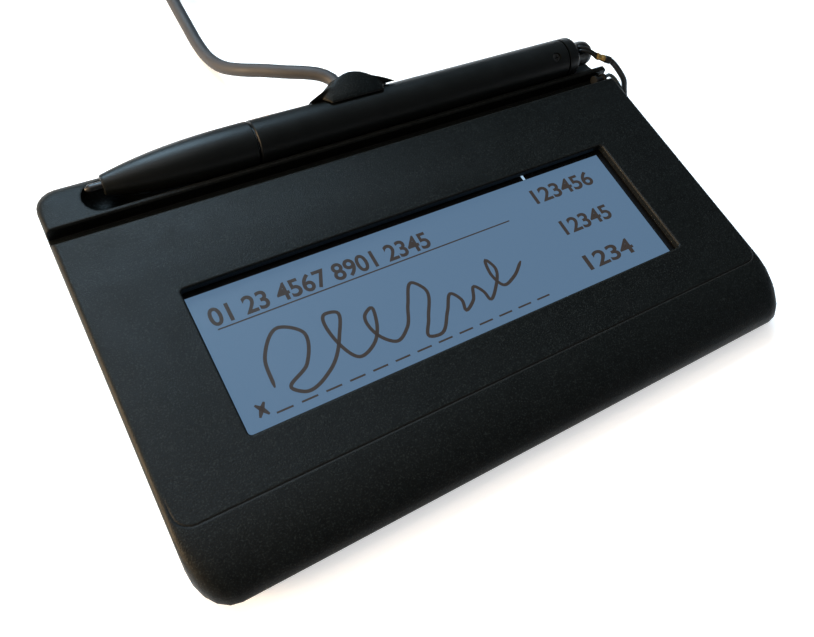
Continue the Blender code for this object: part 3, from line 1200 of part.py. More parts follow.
def build_plug(end):
    """USB plug behind the coil: moulded grip, steel shell and the contact tongue in it."""
    frame = bpy.data.objects.new("plug_frame", None)
    PARTS.objects.link(frame)
    frame.location = end + Vector((SEAT_GAP, 0, 0))
    half_width = PLUG_GRIP_WIDTH / 2
    half_height = PLUG_GRIP_HEIGHT / 2
    grip = box_mesh("usb_plug_grip", (0, -half_width, -half_height), (PLUG_GRIP_LENGTH, half_width, half_height),
                    PLUG_GRIP_EDGE)
    grip_item = add_object("usb_plug_grip", grip, CORD_BLACK, frame)
    shell_start = PLUG_GRIP_LENGTH - PLUG_SHELL_SEAT
    shell_end = shell_start + PLUG_SHELL_LENGTH
    pocket = box_mesh("shell_pocket", (shell_start - SEAT_GAP, -PLUG_SHELL_WIDTH / 2 - SEAT_GAP, -PLUG_SHELL_HEIGHT / 2 - SEAT_GAP),
                      (PLUG_GRIP_LENGTH + OVERRUN, PLUG_SHELL_WIDTH / 2 + SEAT_GAP, PLUG_SHELL_HEIGHT / 2 + SEAT_GAP))
    cut(grip_item, "cut_shell_pocket", pocket, frame)
    shell = add_object("usb_plug_shell", box_mesh(
        "usb_plug_shell", (shell_start, -PLUG_SHELL_WIDTH / 2, -PLUG_SHELL_HEIGHT / 2),
        (shell_end, PLUG_SHELL_WIDTH / 2, PLUG_SHELL_HEIGHT / 2)), STEEL, frame)
    wall = PLUG_SHELL_WALL
    hollow = box_mesh("shell_hollow", (shell_start + wall, -PLUG_SHELL_WIDTH / 2 + wall, -PLUG_SHELL_HEIGHT / 2 + wall),
                      (shell_end + OVERRUN, PLUG_SHELL_WIDTH / 2 - wall, PLUG_SHELL_HEIGHT / 2 - wall))
    cut(shell, "cut_shell_hollow", hollow, frame)
    inset = wall + SEAT_GAP
    tongue = box_mesh("usb_plug_tongue", (shell_start + inset, -PLUG_SHELL_WIDTH / 2 + inset, -PLUG_SHELL_HEIGHT / 2 + inset),
                      (shell_end - PLUG_TONGUE_RETREAT, PLUG_SHELL_WIDTH / 2 - inset,
                       -PLUG_SHELL_HEIGHT / 2 + inset + PLUG_TONGUE_HEIGHT))
    add_object("usb_plug_tongue", tongue, HEADER_WHITE, frame)


def build_signature_pad():
    """All the pieces."""
    inner_route = smooth_route(INNER_POINTS, LEAD_RADIUS)
    bore_route = [Vector((0, HOOD_REAR_Y, LEAD_EXIT_Z))] + inner_route
    bore = tube_mesh("lead_bore", bore_route, LEAD_RADIUS + LEAD_CLEARANCE)
    lead_bore = add_object("cut_lead_bore", bore, frame=PANEL_FRAME, collection=CUTTERS)
    build_top_cover(lead_bore)
    build_bottom_cover(lead_bore)
    build_screws_and_feet()
    shield, ribbon_top = build_display()
    board_front, seat = build_boards()
    build_ribbon(board_front, seat, ribbon_top)
    build_hood(lead_bore)
    build_lead()
    build_pen()
    build_tether()
    build_usb_lead()


build_signature_pad()
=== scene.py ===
"""Looks of the signature pad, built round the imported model."""
import json
import math

import bmesh
import bpy
from mathutils import Euler, Matrix, Vector


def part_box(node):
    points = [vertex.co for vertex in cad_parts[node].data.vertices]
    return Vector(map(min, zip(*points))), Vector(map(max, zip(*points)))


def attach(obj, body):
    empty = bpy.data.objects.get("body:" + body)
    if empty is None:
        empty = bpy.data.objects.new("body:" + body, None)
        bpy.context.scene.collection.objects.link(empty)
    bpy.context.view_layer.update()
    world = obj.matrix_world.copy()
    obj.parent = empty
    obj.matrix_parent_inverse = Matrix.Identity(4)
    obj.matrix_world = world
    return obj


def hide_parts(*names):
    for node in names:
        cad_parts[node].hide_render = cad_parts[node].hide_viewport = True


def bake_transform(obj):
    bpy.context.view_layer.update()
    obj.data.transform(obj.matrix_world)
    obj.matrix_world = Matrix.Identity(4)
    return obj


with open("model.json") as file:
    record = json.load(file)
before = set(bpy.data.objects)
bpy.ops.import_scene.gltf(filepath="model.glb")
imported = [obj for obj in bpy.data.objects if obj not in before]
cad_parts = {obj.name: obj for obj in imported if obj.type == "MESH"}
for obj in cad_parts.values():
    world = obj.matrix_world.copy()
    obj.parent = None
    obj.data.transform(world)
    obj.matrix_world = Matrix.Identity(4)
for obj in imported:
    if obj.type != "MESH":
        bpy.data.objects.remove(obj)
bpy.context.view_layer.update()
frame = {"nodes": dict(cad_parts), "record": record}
NODES = frame["nodes"]

# The panel frame of the sloping top face, as in the part's source
PANEL_SLOPE = math.radians(2.5)
PANEL_ORIGIN = Vector((0, -0.025123, 0.011617))
PANEL = Matrix.Translation(PANEL_ORIGIN) @ Matrix.Rotation(PANEL_SLOPE, 4, "X")

# Camera, fitted to the photograph
CAMERA_PLACE = (-0.077416, -0.0725, 0.144106)
CAMERA_TURN = (30.7088, -10.2704, -29.9581)
CAMERA_LENS = 32.43
CAMERA_SENSOR = 36.0
CAMERA_CLIP = (0.005, 20.0)


def add_object(name, data):
    """An object of some data, in the scene."""
    item = bpy.data.objects.new(name, data)
    bpy.context.scene.collection.objects.link(item)
    return item


camera_data = bpy.data.cameras.new("camera")
camera_data.lens = CAMERA_LENS
camera_data.sensor_width = CAMERA_SENSOR
camera_data.sensor_fit = "HORIZONTAL"
camera_data.clip_start, camera_data.clip_end = CAMERA_CLIP
camera = add_object("camera", camera_data)
camera.location = CAMERA_PLACE
camera.rotation_euler = Euler([math.radians(turn) for turn in CAMERA_TURN])
bpy.context.scene.camera = camera

# Cords: routes and rules as in the part's source, but for the softer last bend of the thin tether
SEAT_GAP = 0.0003
LEAD_RADIUS = 0.0017
LEAD_SPACING = 0.0019
TETHER_RADIUS = 0.0008
RETURN_RADIUS = 0.0005
COIL_X = 0.005
COIL_Y = 0.135
COIL_MEAN_RADIUS = 0.0204
COIL_PITCH = 0.0039
COIL_LAYERS = 4
TURNS_PER_LAYER = 3.18
COIL_OUTER_RADIUS = COIL_MEAN_RADIUS + COIL_PITCH * TURNS_PER_LAYER / 2
POINTS_PER_TURN = 24
WOUND_SPACING = 0.0028
CLIMB_HALF_TURN = 0.25
TIE_THICKNESS = 0.0005
TIE_CLEARANCE = 0.0004
TAIL_GAP = 0.0007
TAIL_STATIONS = 7
TAIL_BEND_RADIUS = 0.0142
TAIL_BEND_STATIONS = 6
TAIL_FLOOR_SHARE = 0.85
PLUG_GRIP_WIDTH = 0.0158
PLUG_GRIP_HEIGHT = 0.008
ROUTE_STEPS = 16
TETHER_SPACING = 1.4 * TETHER_RADIUS
RETURN_SPACING = 1.5 * RETURN_RADIUS
CORD_RESOLUTION = 4
SMOOTH_DEGREES = 30
TETHER_ROUTE = (
    (0.0756, 0.0315, 0.0172), (0.0769, 0.0311, 0.0163), (0.0784, 0.0301, 0.0149),
    (0.0799, 0.029, 0.0133), (0.0811, 0.028, 0.0117), (0.0822, 0.027, 0.0087),
    (0.083, 0.0254, 0.0056), (0.0838, 0.0225, 0.0028), (0.0846, 0.018, 0.0012),
    (0.0851, 0.011, 0.0008), (0.0854, 0.001, 0.0008), (0.0854, -0.009, 0.0008),
    (0.0852, -0.015, 0.0008), (0.0842, -0.0182, 0.0008), (0.0822, -0.0193, 0.0008),
    (0.0803, -0.0184, 0.0009), (0.0795, -0.0163, 0.0012), (0.0794, -0.0143, 0.0013),
)
RETURN_ROUTE = (
    (0.0794, -0.0103, 0.0013), (0.0794, -0.0085, 0.0012), (0.0793, -0.006, 0.0007),
    (0.0791, -0.0025, 0.0005), (0.0789, 0.004, 0.0005), (0.0792, 0.011, 0.0006),
    (0.0797, 0.0165, 0.0015), (0.0803, 0.0207, 0.0036), (0.0806, 0.0238, 0.0066),
    (0.0803, 0.026, 0.009), (0.0792, 0.0288, 0.0111), (0.0783, 0.0302, 0.0119),
    (0.0773, 0.0308, 0.0122), (0.0762, 0.0306, 0.0122), (0.0751, 0.0303, 0.0122),
)
LEAD_ROUTE = (
    (0.0, 0.0491, 0.01366), (0.0, 0.051, 0.01374), (-0.0004, 0.0528, 0.0139),
    (-0.0019, 0.0549, 0.0139), (-0.0046, 0.0571, 0.0135), (-0.0092, 0.0604, 0.0123),
    (-0.0136, 0.0643, 0.0107), (-0.0178, 0.069, 0.0081), (-0.0206, 0.0748, 0.005),
    (-0.0218, 0.0812, 0.0028), (-0.0221, 0.088, 0.0018), (-0.022, 0.096, 0.0017),
    (-0.0218, 0.106, 0.0017), (-0.0216, 0.115, 0.0019), (-0.0216, 0.122, 0.0025),
)


def smooth_route(points, spacing):
    """Evenly spaced points along a smooth curve through hand-set points, even unevenly set ones."""
    knots = [Vector(point) for point in points]
    spans = [(later - earlier).length for earlier, later in zip(knots, knots[1:])]
    slopes = [(later - earlier) / span for earlier, later, span in zip(knots, knots[1:], spans)]
    tangents = [slopes[0]]
    for index in range(1, len(slopes)):
        before = spans[index - 1]
        after = spans[index]
        tangents.append((slopes[index - 1] * after + slopes[index] * before) / (before + after))
    tangents.append(slopes[-1])
    dense = []
    for index, span in enumerate(spans):
        for step in range(ROUTE_STEPS):
            t = step / ROUTE_STEPS
            dense.append(knots[index] * (2 * t ** 3 - 3 * t ** 2 + 1)
                         + knots[index + 1] * (3 * t ** 2 - 2 * t ** 3)
                         + tangents[index] * span * (t ** 3 - 2 * t ** 2 + t)
                         + tangents[index + 1] * span * (t ** 3 - t ** 2))
    dense.append(knots[-1])
    travelled = [0.0]
    for earlier, later in zip(dense, dense[1:]):
        travelled.append(travelled[-1] + (later - earlier).length)
    count = max(2, round(travelled[-1] / spacing))
    route = []
    index = 0
    for step in range(count + 1):
        wanted = travelled[-1] * step / count
        while index < len(dense) - 2 and travelled[index + 1] < wanted:
            index += 1
        span = travelled[index + 1] - travelled[index]
        route.append(dense[index].lerp(dense[index + 1], (wanted - travelled[index]) / span))
    return route


def smooth_share(share):
    """A share from 0 to 1 with a level start and end."""
    held = min(max(share, 0.0), 1.0)
    return held * held * (3 - 2 * held)


def coil_points():
    """The wound lead, layer by layer."""
    bottom = 2 * TIE_CLEARANCE + TIE_THICKNESS - SEAT_GAP + LEAD_RADIUS
    points = []
    steps = round(COIL_LAYERS * TURNS_PER_LAYER * POINTS_PER_TURN)
    for step in range(steps + 1):
        turns = step / POINTS_PER_TURN
        layer = min(int(turns / TURNS_PER_LAYER), COIL_LAYERS - 1)
        along = turns - layer * TURNS_PER_LAYER
        share = along / TURNS_PER_LAYER
        wound_in = 1 - share if layer % 2 else share
        radius = COIL_OUTER_RADIUS - COIL_PITCH * TURNS_PER_LAYER * wound_in
        level = layer
        from_reversal = min((along, layer), (TURNS_PER_LAYER - along, layer + 1))
        if from_reversal[0] < CLIMB_HALF_TURN and 0 < from_reversal[1] < COIL_LAYERS:
            signed = along if from_reversal[1] == layer else -from_reversal[0]
            level = from_reversal[1] - 0.5 + 0.5 * math.sin(math.pi / 2 * signed / CLIMB_HALF_TURN)
        angle = math.tau * turns
        points.append(Vector((COIL_X - radius * math.cos(angle), COIL_Y + radius * math.sin(angle),
                              bottom + COIL_PITCH * level)))
    return points


def tail_knots(start, run):
    """The tail's way from the coil to the plug."""
    outer = COIL_OUTER_RADIUS + 2 * LEAD_RADIUS + TAIL_GAP
    first = math.atan2(start.y - COIL_Y, COIL_X - start.x)
    bend_y = COIL_Y + outer + PLUG_GRIP_WIDTH / 2 - TAIL_BEND_RADIUS
    bend_x = COIL_X - outer + TAIL_BEND_RADIUS
    plan = []
    for step in range(1, TAIL_STATIONS + 1):
        angle = first * (1 - step / TAIL_STATIONS)
        plan.append(Vector((COIL_X - outer * math.cos(angle), COIL_Y + outer * math.sin(angle), 0)))
    plan.append(Vector((COIL_X - outer, (COIL_Y + bend_y) / 2, 0)))
    fall_length = TAIL_FLOOR_SHARE * (outer * abs(first) + bend_y - COIL_Y)
    knots = [start, start + run * 2 * LEAD_RADIUS]
    travelled = 0.0
    for point in plan:
        travelled += (point.xy - knots[-1].xy).length
        level = start.z + (LEAD_RADIUS - start.z) * smooth_share(travelled / fall_length)
        knots.append(Vector((point.x, point.y, level)))
    for step in range(TAIL_BEND_STATIONS + 1):
        share = step / TAIL_BEND_STATIONS
        angle = math.pi / 2 * share
        level = LEAD_RADIUS + (PLUG_GRIP_HEIGHT / 2 - LEAD_RADIUS) * smooth_share(share)
        knots.append(Vector((bend_x - TAIL_BEND_RADIUS * math.cos(angle),
                             bend_y + TAIL_BEND_RADIUS * math.sin(angle), level)))
    knots.append(knots[-1] + Vector((2 * LEAD_RADIUS, 0, 0)))
    return knots


def add_mesh(name, shape):
    """An object from a bmesh, in the scene."""
    bmesh.ops.recalc_face_normals(shape, faces=shape.faces)
    mesh = bpy.data.meshes.new(name)
    shape.to_mesh(mesh)
    shape.free()
    return add_object(name, mesh)


def tube(name, points, radius):
    """A round cord along points, as a curve."""
    curve = bpy.data.curves.new(name, "CURVE")
    curve.dimensions = "3D"
    curve.bevel_depth = 1.0
    curve.bevel_resolution = CORD_RESOLUTION
    curve.use_fill_caps = True
    spline = curve.splines.new("POLY")
    spline.points.add(len(points) - 1)
    for target, point in zip(spline.points, points):
        target.co = (*point, 1.0)
        target.radius = radius
    spline.use_smooth = True
    return add_object(name, curve)


def skin(shape, rings):
    """Faces between a run of rings of vertices, with a cap on each end."""
    shape.faces.new(rings[0][::-1])
    for first, second in zip(rings, rings[1:]):
        for index in range(len(first)):
            after = (index + 1) % len(first)
            shape.faces.new((first[index], first[after], second[after], second[index]))
    shape.faces.new(rings[-1])


def tube_mesh(name, points, radius, sides=12, flatness=1.0):
    """A cord along points, as a closed mesh. The radius may be a list, one for each point.
    A flatness below 1 squeezes it in height."""
    radii = radius if isinstance(radius, list) else [radius] * len(points)
    shape = bmesh.new()
    side = Vector((0, 0, 1))
    rings = []
    for index, point in enumerate(points):
        run = points[min(index + 1, len(points) - 1)] - points[max(index - 1, 0)]
        run.normalize()
        side = (side - run * side.dot(run)).normalized()
        other = run.cross(side)
        ring = []
        for step in range(sides):
            angle = math.tau * step / sides
            reach = math.cos(angle) * flatness * side + math.sin(angle) * other
            ring.append(shape.verts.new(point + radii[index] * reach))
        rings.append(ring)
    skin(shape, rings)
    for face in shape.faces:
        face.smooth = len(face.verts) == 4
    return add_mesh(name, shape)


def sharpen(item, degrees=SMOOTH_DEGREES):
    """Smooth shading that keeps the edges above an angle sharp."""
    for face in item.data.polygons:
        face.use_smooth = True
    item.data.set_sharp_from_angle(angle=math.radians(degrees))


def turned(name, profile, place, sides, ring=False):
    """A turned piece from (radius, height) points, from axis to axis or as a closed ring."""
    shape = bmesh.new()
    rings = []
    for radius, height in profile:
        count = sides if radius else 1
        ring_now = []
        for step in range(count):
            angle = math.tau * step / count
            point = Vector((radius * math.cos(angle), radius * math.sin(angle), height))
            ring_now.append(shape.verts.new(place @ point))
        rings.append(ring_now)
    pairs = list(zip(rings, rings[1:]))
    if ring:
        pairs.append((rings[-1], rings[0]))
    for first, second in pairs:
        for step in range(sides):
            after = step + 1
            corners = []
            for corner in (first[step % len(first)], first[after % len(first)],
                           second[after % len(second)], second[step % len(second)]):
                if corner not in corners:
                    corners.append(corner)
            if len(corners) > 2:
                shape.faces.new(corners)
    item = add_mesh(name, shape)
    sharpen(item)
    return item


def block(name, low, high, edge=0.0, segments=1, place=Matrix.Identity(4)):
    """A box between two corners, with rounded edges if asked."""
    shape = bmesh.new()
    bmesh.ops.create_cube(shape, size=1.0)
    for vertex in shape.verts:
        for axis in range(3):
            vertex.co[axis] = low[axis] + (high[axis] - low[axis]) * (vertex.co[axis] + 0.5)
    if edge:
        bmesh.ops.bevel(shape, geom=shape.edges[:], offset=edge, segments=segments,
                        profile=0.5, affect="EDGES")
    bmesh.ops.transform(shape, matrix=place, verts=shape.verts)
    item = add_mesh(name, shape)
    if edge:
        sharpen(item)
    return item


def evaluated_mesh(item):
    """A mesh of an object as its modifiers or its text make it."""
    bpy.context.view_layer.update()
    graph = bpy.context.evaluated_depsgraph_get()
    return bpy.data.meshes.new_from_object(item.evaluated_get(graph))


def carve(item, *tools):
    """Cut tools out of a piece and take them away."""
    for tool in tools:
        change = item.modifiers.new("cut", "BOOLEAN")
        change.operation = "DIFFERENCE"
        change.solver = "EXACT"
        change.object = tool
    mesh = evaluated_mesh(item)
    item.modifiers.clear()
    item.data = mesh
    for tool in tools:
        bpy.data.objects.remove(tool, do_unlink=True)
    sharpen(item)


def lead_points():
    """The whole lead from the hood to the plug."""
    straight = 2 * LEAD_RADIUS
    coil = coil_points()
    exit_run = (coil[-1] - coil[-2]).normalized()
    exit_run.z = 0
    turns = [coil[0] - Vector((0, straight, 0))] + coil + [coil[-1] + exit_run * straight]
    wound = smooth_route(turns, WOUND_SPACING)
    free_end = wound[0] - Vector((0, SEAT_GAP, 0))
    free = smooth_route(LEAD_ROUTE + (free_end - Vector((0, straight, 0)), free_end), LEAD_SPACING)
    tail = smooth_route(tail_knots(wound[-1] + exit_run * SEAT_GAP, exit_run), LEAD_SPACING)
    return free[:-1] + wound + tail[1:]


lead_route = lead_points()
lead = tube("lead", lead_route, LEAD_RADIUS)
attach(lead, "housing")
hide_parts("usb_cable", "usb_cable_coil", "usb_cable_tail")

tether_route = smooth_route(TETHER_ROUTE, TETHER_SPACING)
tether = tube_mesh("tether", tether_route, TETHER_RADIUS)
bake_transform(tether)
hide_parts("tether_cord")

thin_route = smooth_route(RETURN_ROUTE, RETURN_SPACING)
thin = tube("tether_thin", thin_route, RETURN_RADIUS)
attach(thin, "housing")
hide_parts("tether_return")


# Materials. Scales are in cycles per metre.
NOISE_ROUGHNESS = 0.55
FINE_DETAIL = 2.0
BEVEL_SAMPLES = 6
MIX_FIRST = 6
MIX_SECOND = 7
MIX_RESULT = 2
CASE_MOTTLE_SCALE = 700.0
CASE_FLECK_SCALE = 3000.0
CASE_FLECK_SPAN = (0.54, 0.66)
CASE_SHEEN_SCALE = 140.0
CASE_GRAIN_SCALE = 3600.0
CASE_GRAIN_HEIGHT = 0.000065
CASE_EDGE_ROUND = 0.0005
# Band of lighter colour on the case's edges: partly wear, partly a painted edge highlight
CASE_WORN_HIGHLIGHT_WIDTH = 0.0004
CASE_WORN_HIGHLIGHT_SPAN = (0.995, 0.86)
PLASTIC_SPREAD = 0.12
PLASTIC_MOTTLE_PART = 6
PLASTIC_SHEEN_PART = 12
METAL_MOTTLE_SCALE = 700.0
METAL_SHEEN_SCALE = 1800.0
METAL_SHEEN_SPAN = (0.9, 1.15)
METAL_SCRATCH_SCALE = 3000.0
METAL_SCRATCH_DEPTH = 0.0000012
STRAP_WEAVE_SCALE = 420.0
STRAP_WEAVE_WOBBLE = 0.6
STRAP_WEAVE_HEIGHT = 0.0001
STRAP_NAP_SCALE = 9000.0
STRAP_NAP_HEIGHT = 0.00006


def feed(tree, socket, value):
    """Give a socket in a node tree another one to follow, a colour or a number."""
    if isinstance(value, bpy.types.NodeSocket):
        tree.links.new(value, socket)
    else:
        socket.default_value = (*value, 1.0) if isinstance(value, tuple) else value


def add_node(tree, kind, inputs=None, **settings):
    """The outputs of a new shader node with its inputs and settings."""
    node = tree.nodes.new("ShaderNode" + kind)
    for name, value in settings.items():
        setattr(node, name, value)
    for socket, value in (inputs or {}).items():
        feed(tree, node.inputs[socket], value)
    return node.outputs


class Surface:
    """A Principled material under construction, with small helpers for its procedural nodes."""

    def __init__(self, name, color, roughness, metallic=0.0, specular=0.5):
        self.material = bpy.data.materials.new(name)
        self.material.use_nodes = True
        self.tree = self.material.node_tree
        self.shader = self.tree.nodes["Principled BSDF"]
        self.set("Base Color", color)
        self.set("Roughness", roughness)
        self.set("Metallic", metallic)
        self.set("Specular IOR Level", specular)
        self.place = self.node("TexCoord")["Object"]
        self.color = color
        self.normal = None

    def set(self, socket, value):
        """Give one of the shader's inputs a socket to follow, a colour or a number."""
        feed(self.tree, self.shader.inputs[socket], value)

    def node(self, kind, inputs=None, **settings):
        """The outputs of a new node."""
        return add_node(self.tree, kind, inputs, **settings)

    def noise(self, scale, detail=3.0):
        """A noise value over the object."""
        return self.node("TexNoise", {"Vector": self.place, "Scale": scale, "Detail": detail,
                                      "Roughness": NOISE_ROUGHNESS})["Fac"]

    def ramp(self, value, low, high, start=0.3, end=0.7):
        """Map a value to the span from low to high. Colours or numbers."""
        node = self.tree.nodes.new("ShaderNodeValToRGB")
        for element, position, color in zip(node.color_ramp.elements, (start, end), (low, high)):
            element.position = position
            element.color = (*(color if isinstance(color, tuple) else [color] * 3), 1.0)
        feed(self.tree, node.inputs["Fac"], value)
        return node.outputs["Color"]

    def remap(self, value, start, end, low=0.0, high=1.0):
        """Map a value from start and end to low and high, and hold it between them."""
        return self.node("MapRange", {"Value": value, "From Min": start, "From Max": end,
                                      "To Min": low, "To Max": high})["Result"]

    def mix(self, factor, first, second):
        """Mix two colours."""
        return self.node("Mix", {"Factor": factor, MIX_FIRST: first, MIX_SECOND: second},
                         data_type="RGBA")[MIX_RESULT]

    def calculate(self, operation, *values):
        """The value of a math node."""
        return self.node("Math", dict(enumerate(values)), operation=operation)["Value"]

    def rounded_normal(self, radius):
        """The normal of a surface whose sharp edges are rounded over by a radius."""
        return self.node("Bevel", {"Radius": radius}, samples=BEVEL_SAMPLES)["Normal"]

    def edge_mask(self, radius, flat, edge):
        """1 on edges and 0 on flats, from how far the rounded normal leans off the plain one."""
        normals = {0: self.rounded_normal(radius), 1: self.node("NewGeometry")["Normal"]}
        likeness = self.node("VectorMath", normals, operation="DOT_PRODUCT")["Value"]
        return self.remap(likeness, flat, edge)

    def bump(self, height, distance):
        """Add relief of a height in metres to the surface."""
        inputs = {"Distance": distance, "Height": height}
        if self.normal is not None:
            inputs["Normal"] = self.normal
        self.normal = self.node("Bump", inputs)["Normal"]
        self.set("Normal", self.normal)

    def mottle(self, scale, spread):
        """Vary the base colour by a share."""
        low, high = (tuple(channel * share for channel in self.color)
                     for share in (1 - spread, 1 + spread))
        self.set("Base Color", self.ramp(self.noise(scale), low, high))

    def vary_roughness(self, scale, low, high):
        """Vary the roughness between two values."""
        self.set("Roughness", self.ramp(self.noise(scale), low, high))


def case_plastic():
    """Black moulded ABS with a fine spark grain. Its softly rounded edges are painted lighter:
    partly wear, partly a painted edge highlight.
    """
    surface = Surface("case_black_grained", (0.0034, 0.004, 0.0039), 0.46, specular=0.11)
    base = surface.ramp(surface.noise(CASE_MOTTLE_SCALE),
                        (0.0014, 0.0018, 0.0016), (0.0027, 0.0034, 0.0031))
    fleck = surface.ramp(surface.noise(CASE_FLECK_SCALE, FINE_DETAIL), 0.0, 1.0, *CASE_FLECK_SPAN)
    speckled = surface.mix(fleck, base, (0.0098, 0.0114, 0.0106))
    # Edges painted lighter: partly wear, partly a painted highlight where light catches the rounded
    # edges
    worn_highlight = surface.edge_mask(CASE_WORN_HIGHLIGHT_WIDTH, *CASE_WORN_HIGHLIGHT_SPAN)
    surface.set("Base Color", surface.mix(worn_highlight, speckled, (0.015, 0.014, 0.0125)))
    surface.vary_roughness(CASE_SHEEN_SCALE, 0.42, 0.5)
    surface.normal = surface.rounded_normal(CASE_EDGE_ROUND)
    surface.bump(surface.noise(CASE_GRAIN_SCALE, FINE_DETAIL), CASE_GRAIN_HEIGHT)
    return surface.material


def plain_plastic(name, color, roughness, specular, grain=2600.0, depth=0.000006):
    """Smooth moulded plastic or sheath with faint unevenness."""
    surface = Surface(name, color, roughness, specular=specular)
    surface.mottle(grain / PLASTIC_MOTTLE_PART, PLASTIC_SPREAD)
    surface.vary_roughness(grain / PLASTIC_SHEEN_PART, roughness * (1 - PLASTIC_SPREAD),
                           min(roughness * (1 + PLASTIC_SPREAD), 1.0))
    surface.bump(surface.noise(grain), depth)
    return surface.material


def metal(name, color, roughness, spread=0.1):
    """Metal with fine scratches."""
    surface = Surface(name, color, roughness, metallic=1.0)
    surface.mottle(METAL_MOTTLE_SCALE, spread)
    surface.vary_roughness(METAL_SHEEN_SCALE, *(roughness * share for share in METAL_SHEEN_SPAN))
    surface.bump(surface.noise(METAL_SCRATCH_SCALE), METAL_SCRATCH_DEPTH)
    return surface.material


def woven_strap():
    """Hook-and-loop strap: a tight over-and-under weave with a soft nap."""
    surface = Surface("strap_woven", (0.014, 0.0145, 0.015), 0.92, specular=0.15)
    surface.set("Sheen Weight", 0.25)
    surface.set("Sheen Roughness", 0.5)
    inputs = {"Scale": STRAP_WEAVE_SCALE, "Distortion": STRAP_WEAVE_WOBBLE, "Vector": surface.place}
    weave = surface.mix(0.5, *(surface.node("TexWave", inputs, bands_direction=direction)["Fac"]
                               for direction in ("Y", "Z")))
    threads = surface.ramp(weave, (0.008, 0.0084, 0.0088), (0.023, 0.0238, 0.0245))
    surface.set("Base Color", threads)
    surface.vary_roughness(900.0, 0.85, 0.97)
    surface.bump(weave, STRAP_WEAVE_HEIGHT)
    surface.bump(surface.noise(STRAP_NAP_SCALE, FINE_DETAIL), STRAP_NAP_HEIGHT)
    return surface.material


def clear_plate():
    """Thin clear plate with a matte hard coat and faint pen marks."""
    surface = Surface("clear_hard_coat", (0.02, 0.022, 0.025), 0.3, specular=0.07)
    surface.set("Alpha", 0.05)
    surface.vary_roughness(240.0, 0.24, 0.38)
    surface.bump(surface.noise(2600.0), 0.000003)
    surface.material.surface_render_method = "BLENDED"
    return surface.material


def display_border():
    """Black printed border of the display glass."""
    surface = Surface("display_border", (0.004, 0.0045, 0.005), 0.32, specular=0.3)
    surface.mottle(800.0, 0.2)
    surface.vary_roughness(500.0, 0.28, 0.4)
    return surface.material


MATERIALS = {
    "case_black": case_plastic(),
    "pen_black": plain_plastic("pen_satin", (0.0026, 0.0032, 0.003), 0.38, 0.19, 2300.0, 0.00004),
    "rubber": plain_plastic("rubber_soft", (0.0065, 0.0068, 0.0066), 0.8, 0.2, 3000.0, 0.000012),
    "cord_black": plain_plastic("cord_sheath", (0.006, 0.0064, 0.0064), 0.42, 0.25),
    "cord_grey": plain_plastic("thin_sheath", (0.06, 0.064, 0.06), 0.45, 0.3),
    "lead_grey": plain_plastic("lead_sheath", (0.027, 0.0265, 0.028), 0.6, 0.26),
    "brass": metal("brass_crimped", (0.4, 0.255, 0.085), 0.5),
    "steel": metal("steel_plain", (0.56, 0.56, 0.57), 0.3, spread=0.04),
    "screw_dark": metal("steel_blackened", (0.06, 0.058, 0.055), 0.42),
    "nib_dark": metal("nib_worn", (0.034, 0.034, 0.035), 0.36),
    "gold": metal("contact_gold", (0.83, 0.62, 0.24), 0.25),
    "plug_rubber": plain_plastic("plug_overmould", (0.011, 0.0115, 0.012), 0.62, 0.3, 3400.0, 1e-5),
    "guide_white": plain_plastic("milky_guide", (0.7, 0.73, 0.76), 0.3, 0.5),
    "board_green": plain_plastic("solder_mask", (0.012, 0.085, 0.035), 0.38, 0.5, 900.0, 0.00002),
    "chip_black": plain_plastic("chip_epoxy", (0.014, 0.014, 0.015), 0.55, 0.4),
    "header_white": plain_plastic("nylon_white", (0.62, 0.6, 0.54), 0.45, 0.5),
    "ribbon_amber": plain_plastic("amber_film", (0.3, 0.13, 0.03), 0.3, 0.5),
    "strap_woven": woven_strap(),
    "clear_plate": clear_plate(),
    "display_blue": display_border(),
}

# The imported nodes: materials, and smooth shading with sharp edges
SLOTS = {entry["node"]: entry["material_slot"] for entry in frame["record"]["subparts"]}
SMOOTH_ANGLE = math.radians(34)
WELD_REACH = 0.000002
for name, node in NODES.items():
    node.data.materials.clear()
    node.data.materials.append(MATERIALS[SLOTS[name]])
    for face in node.data.polygons:
        face.material_index = 0
        face.use_smooth = True
    if "custom_normal" in node.data.attributes:
        node.data.attributes.remove(node.data.attributes["custom_normal"])
    weld = node.modifiers.new("weld", "WELD")
    weld.merge_threshold = WELD_REACH
    split = node.modifiers.new("edges", "EDGE_SPLIT")
    split.split_angle = SMOOTH_ANGLE
for cord, material in ((lead, "lead_grey"), (tether, "cord_black"), (thin, "cord_grey")):
    cord.data.materials.append(MATERIALS[material])


def dress(piece, body, material, slot, *nodes):
    """Give a piece its body and material, and hide the nodes that it stands for. The slot is not
    used.
    """
    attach(piece, body)
    if nodes:
        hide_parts(*nodes)
    piece.data.materials.clear()
    piece.data.materials.append(MATERIALS[material])


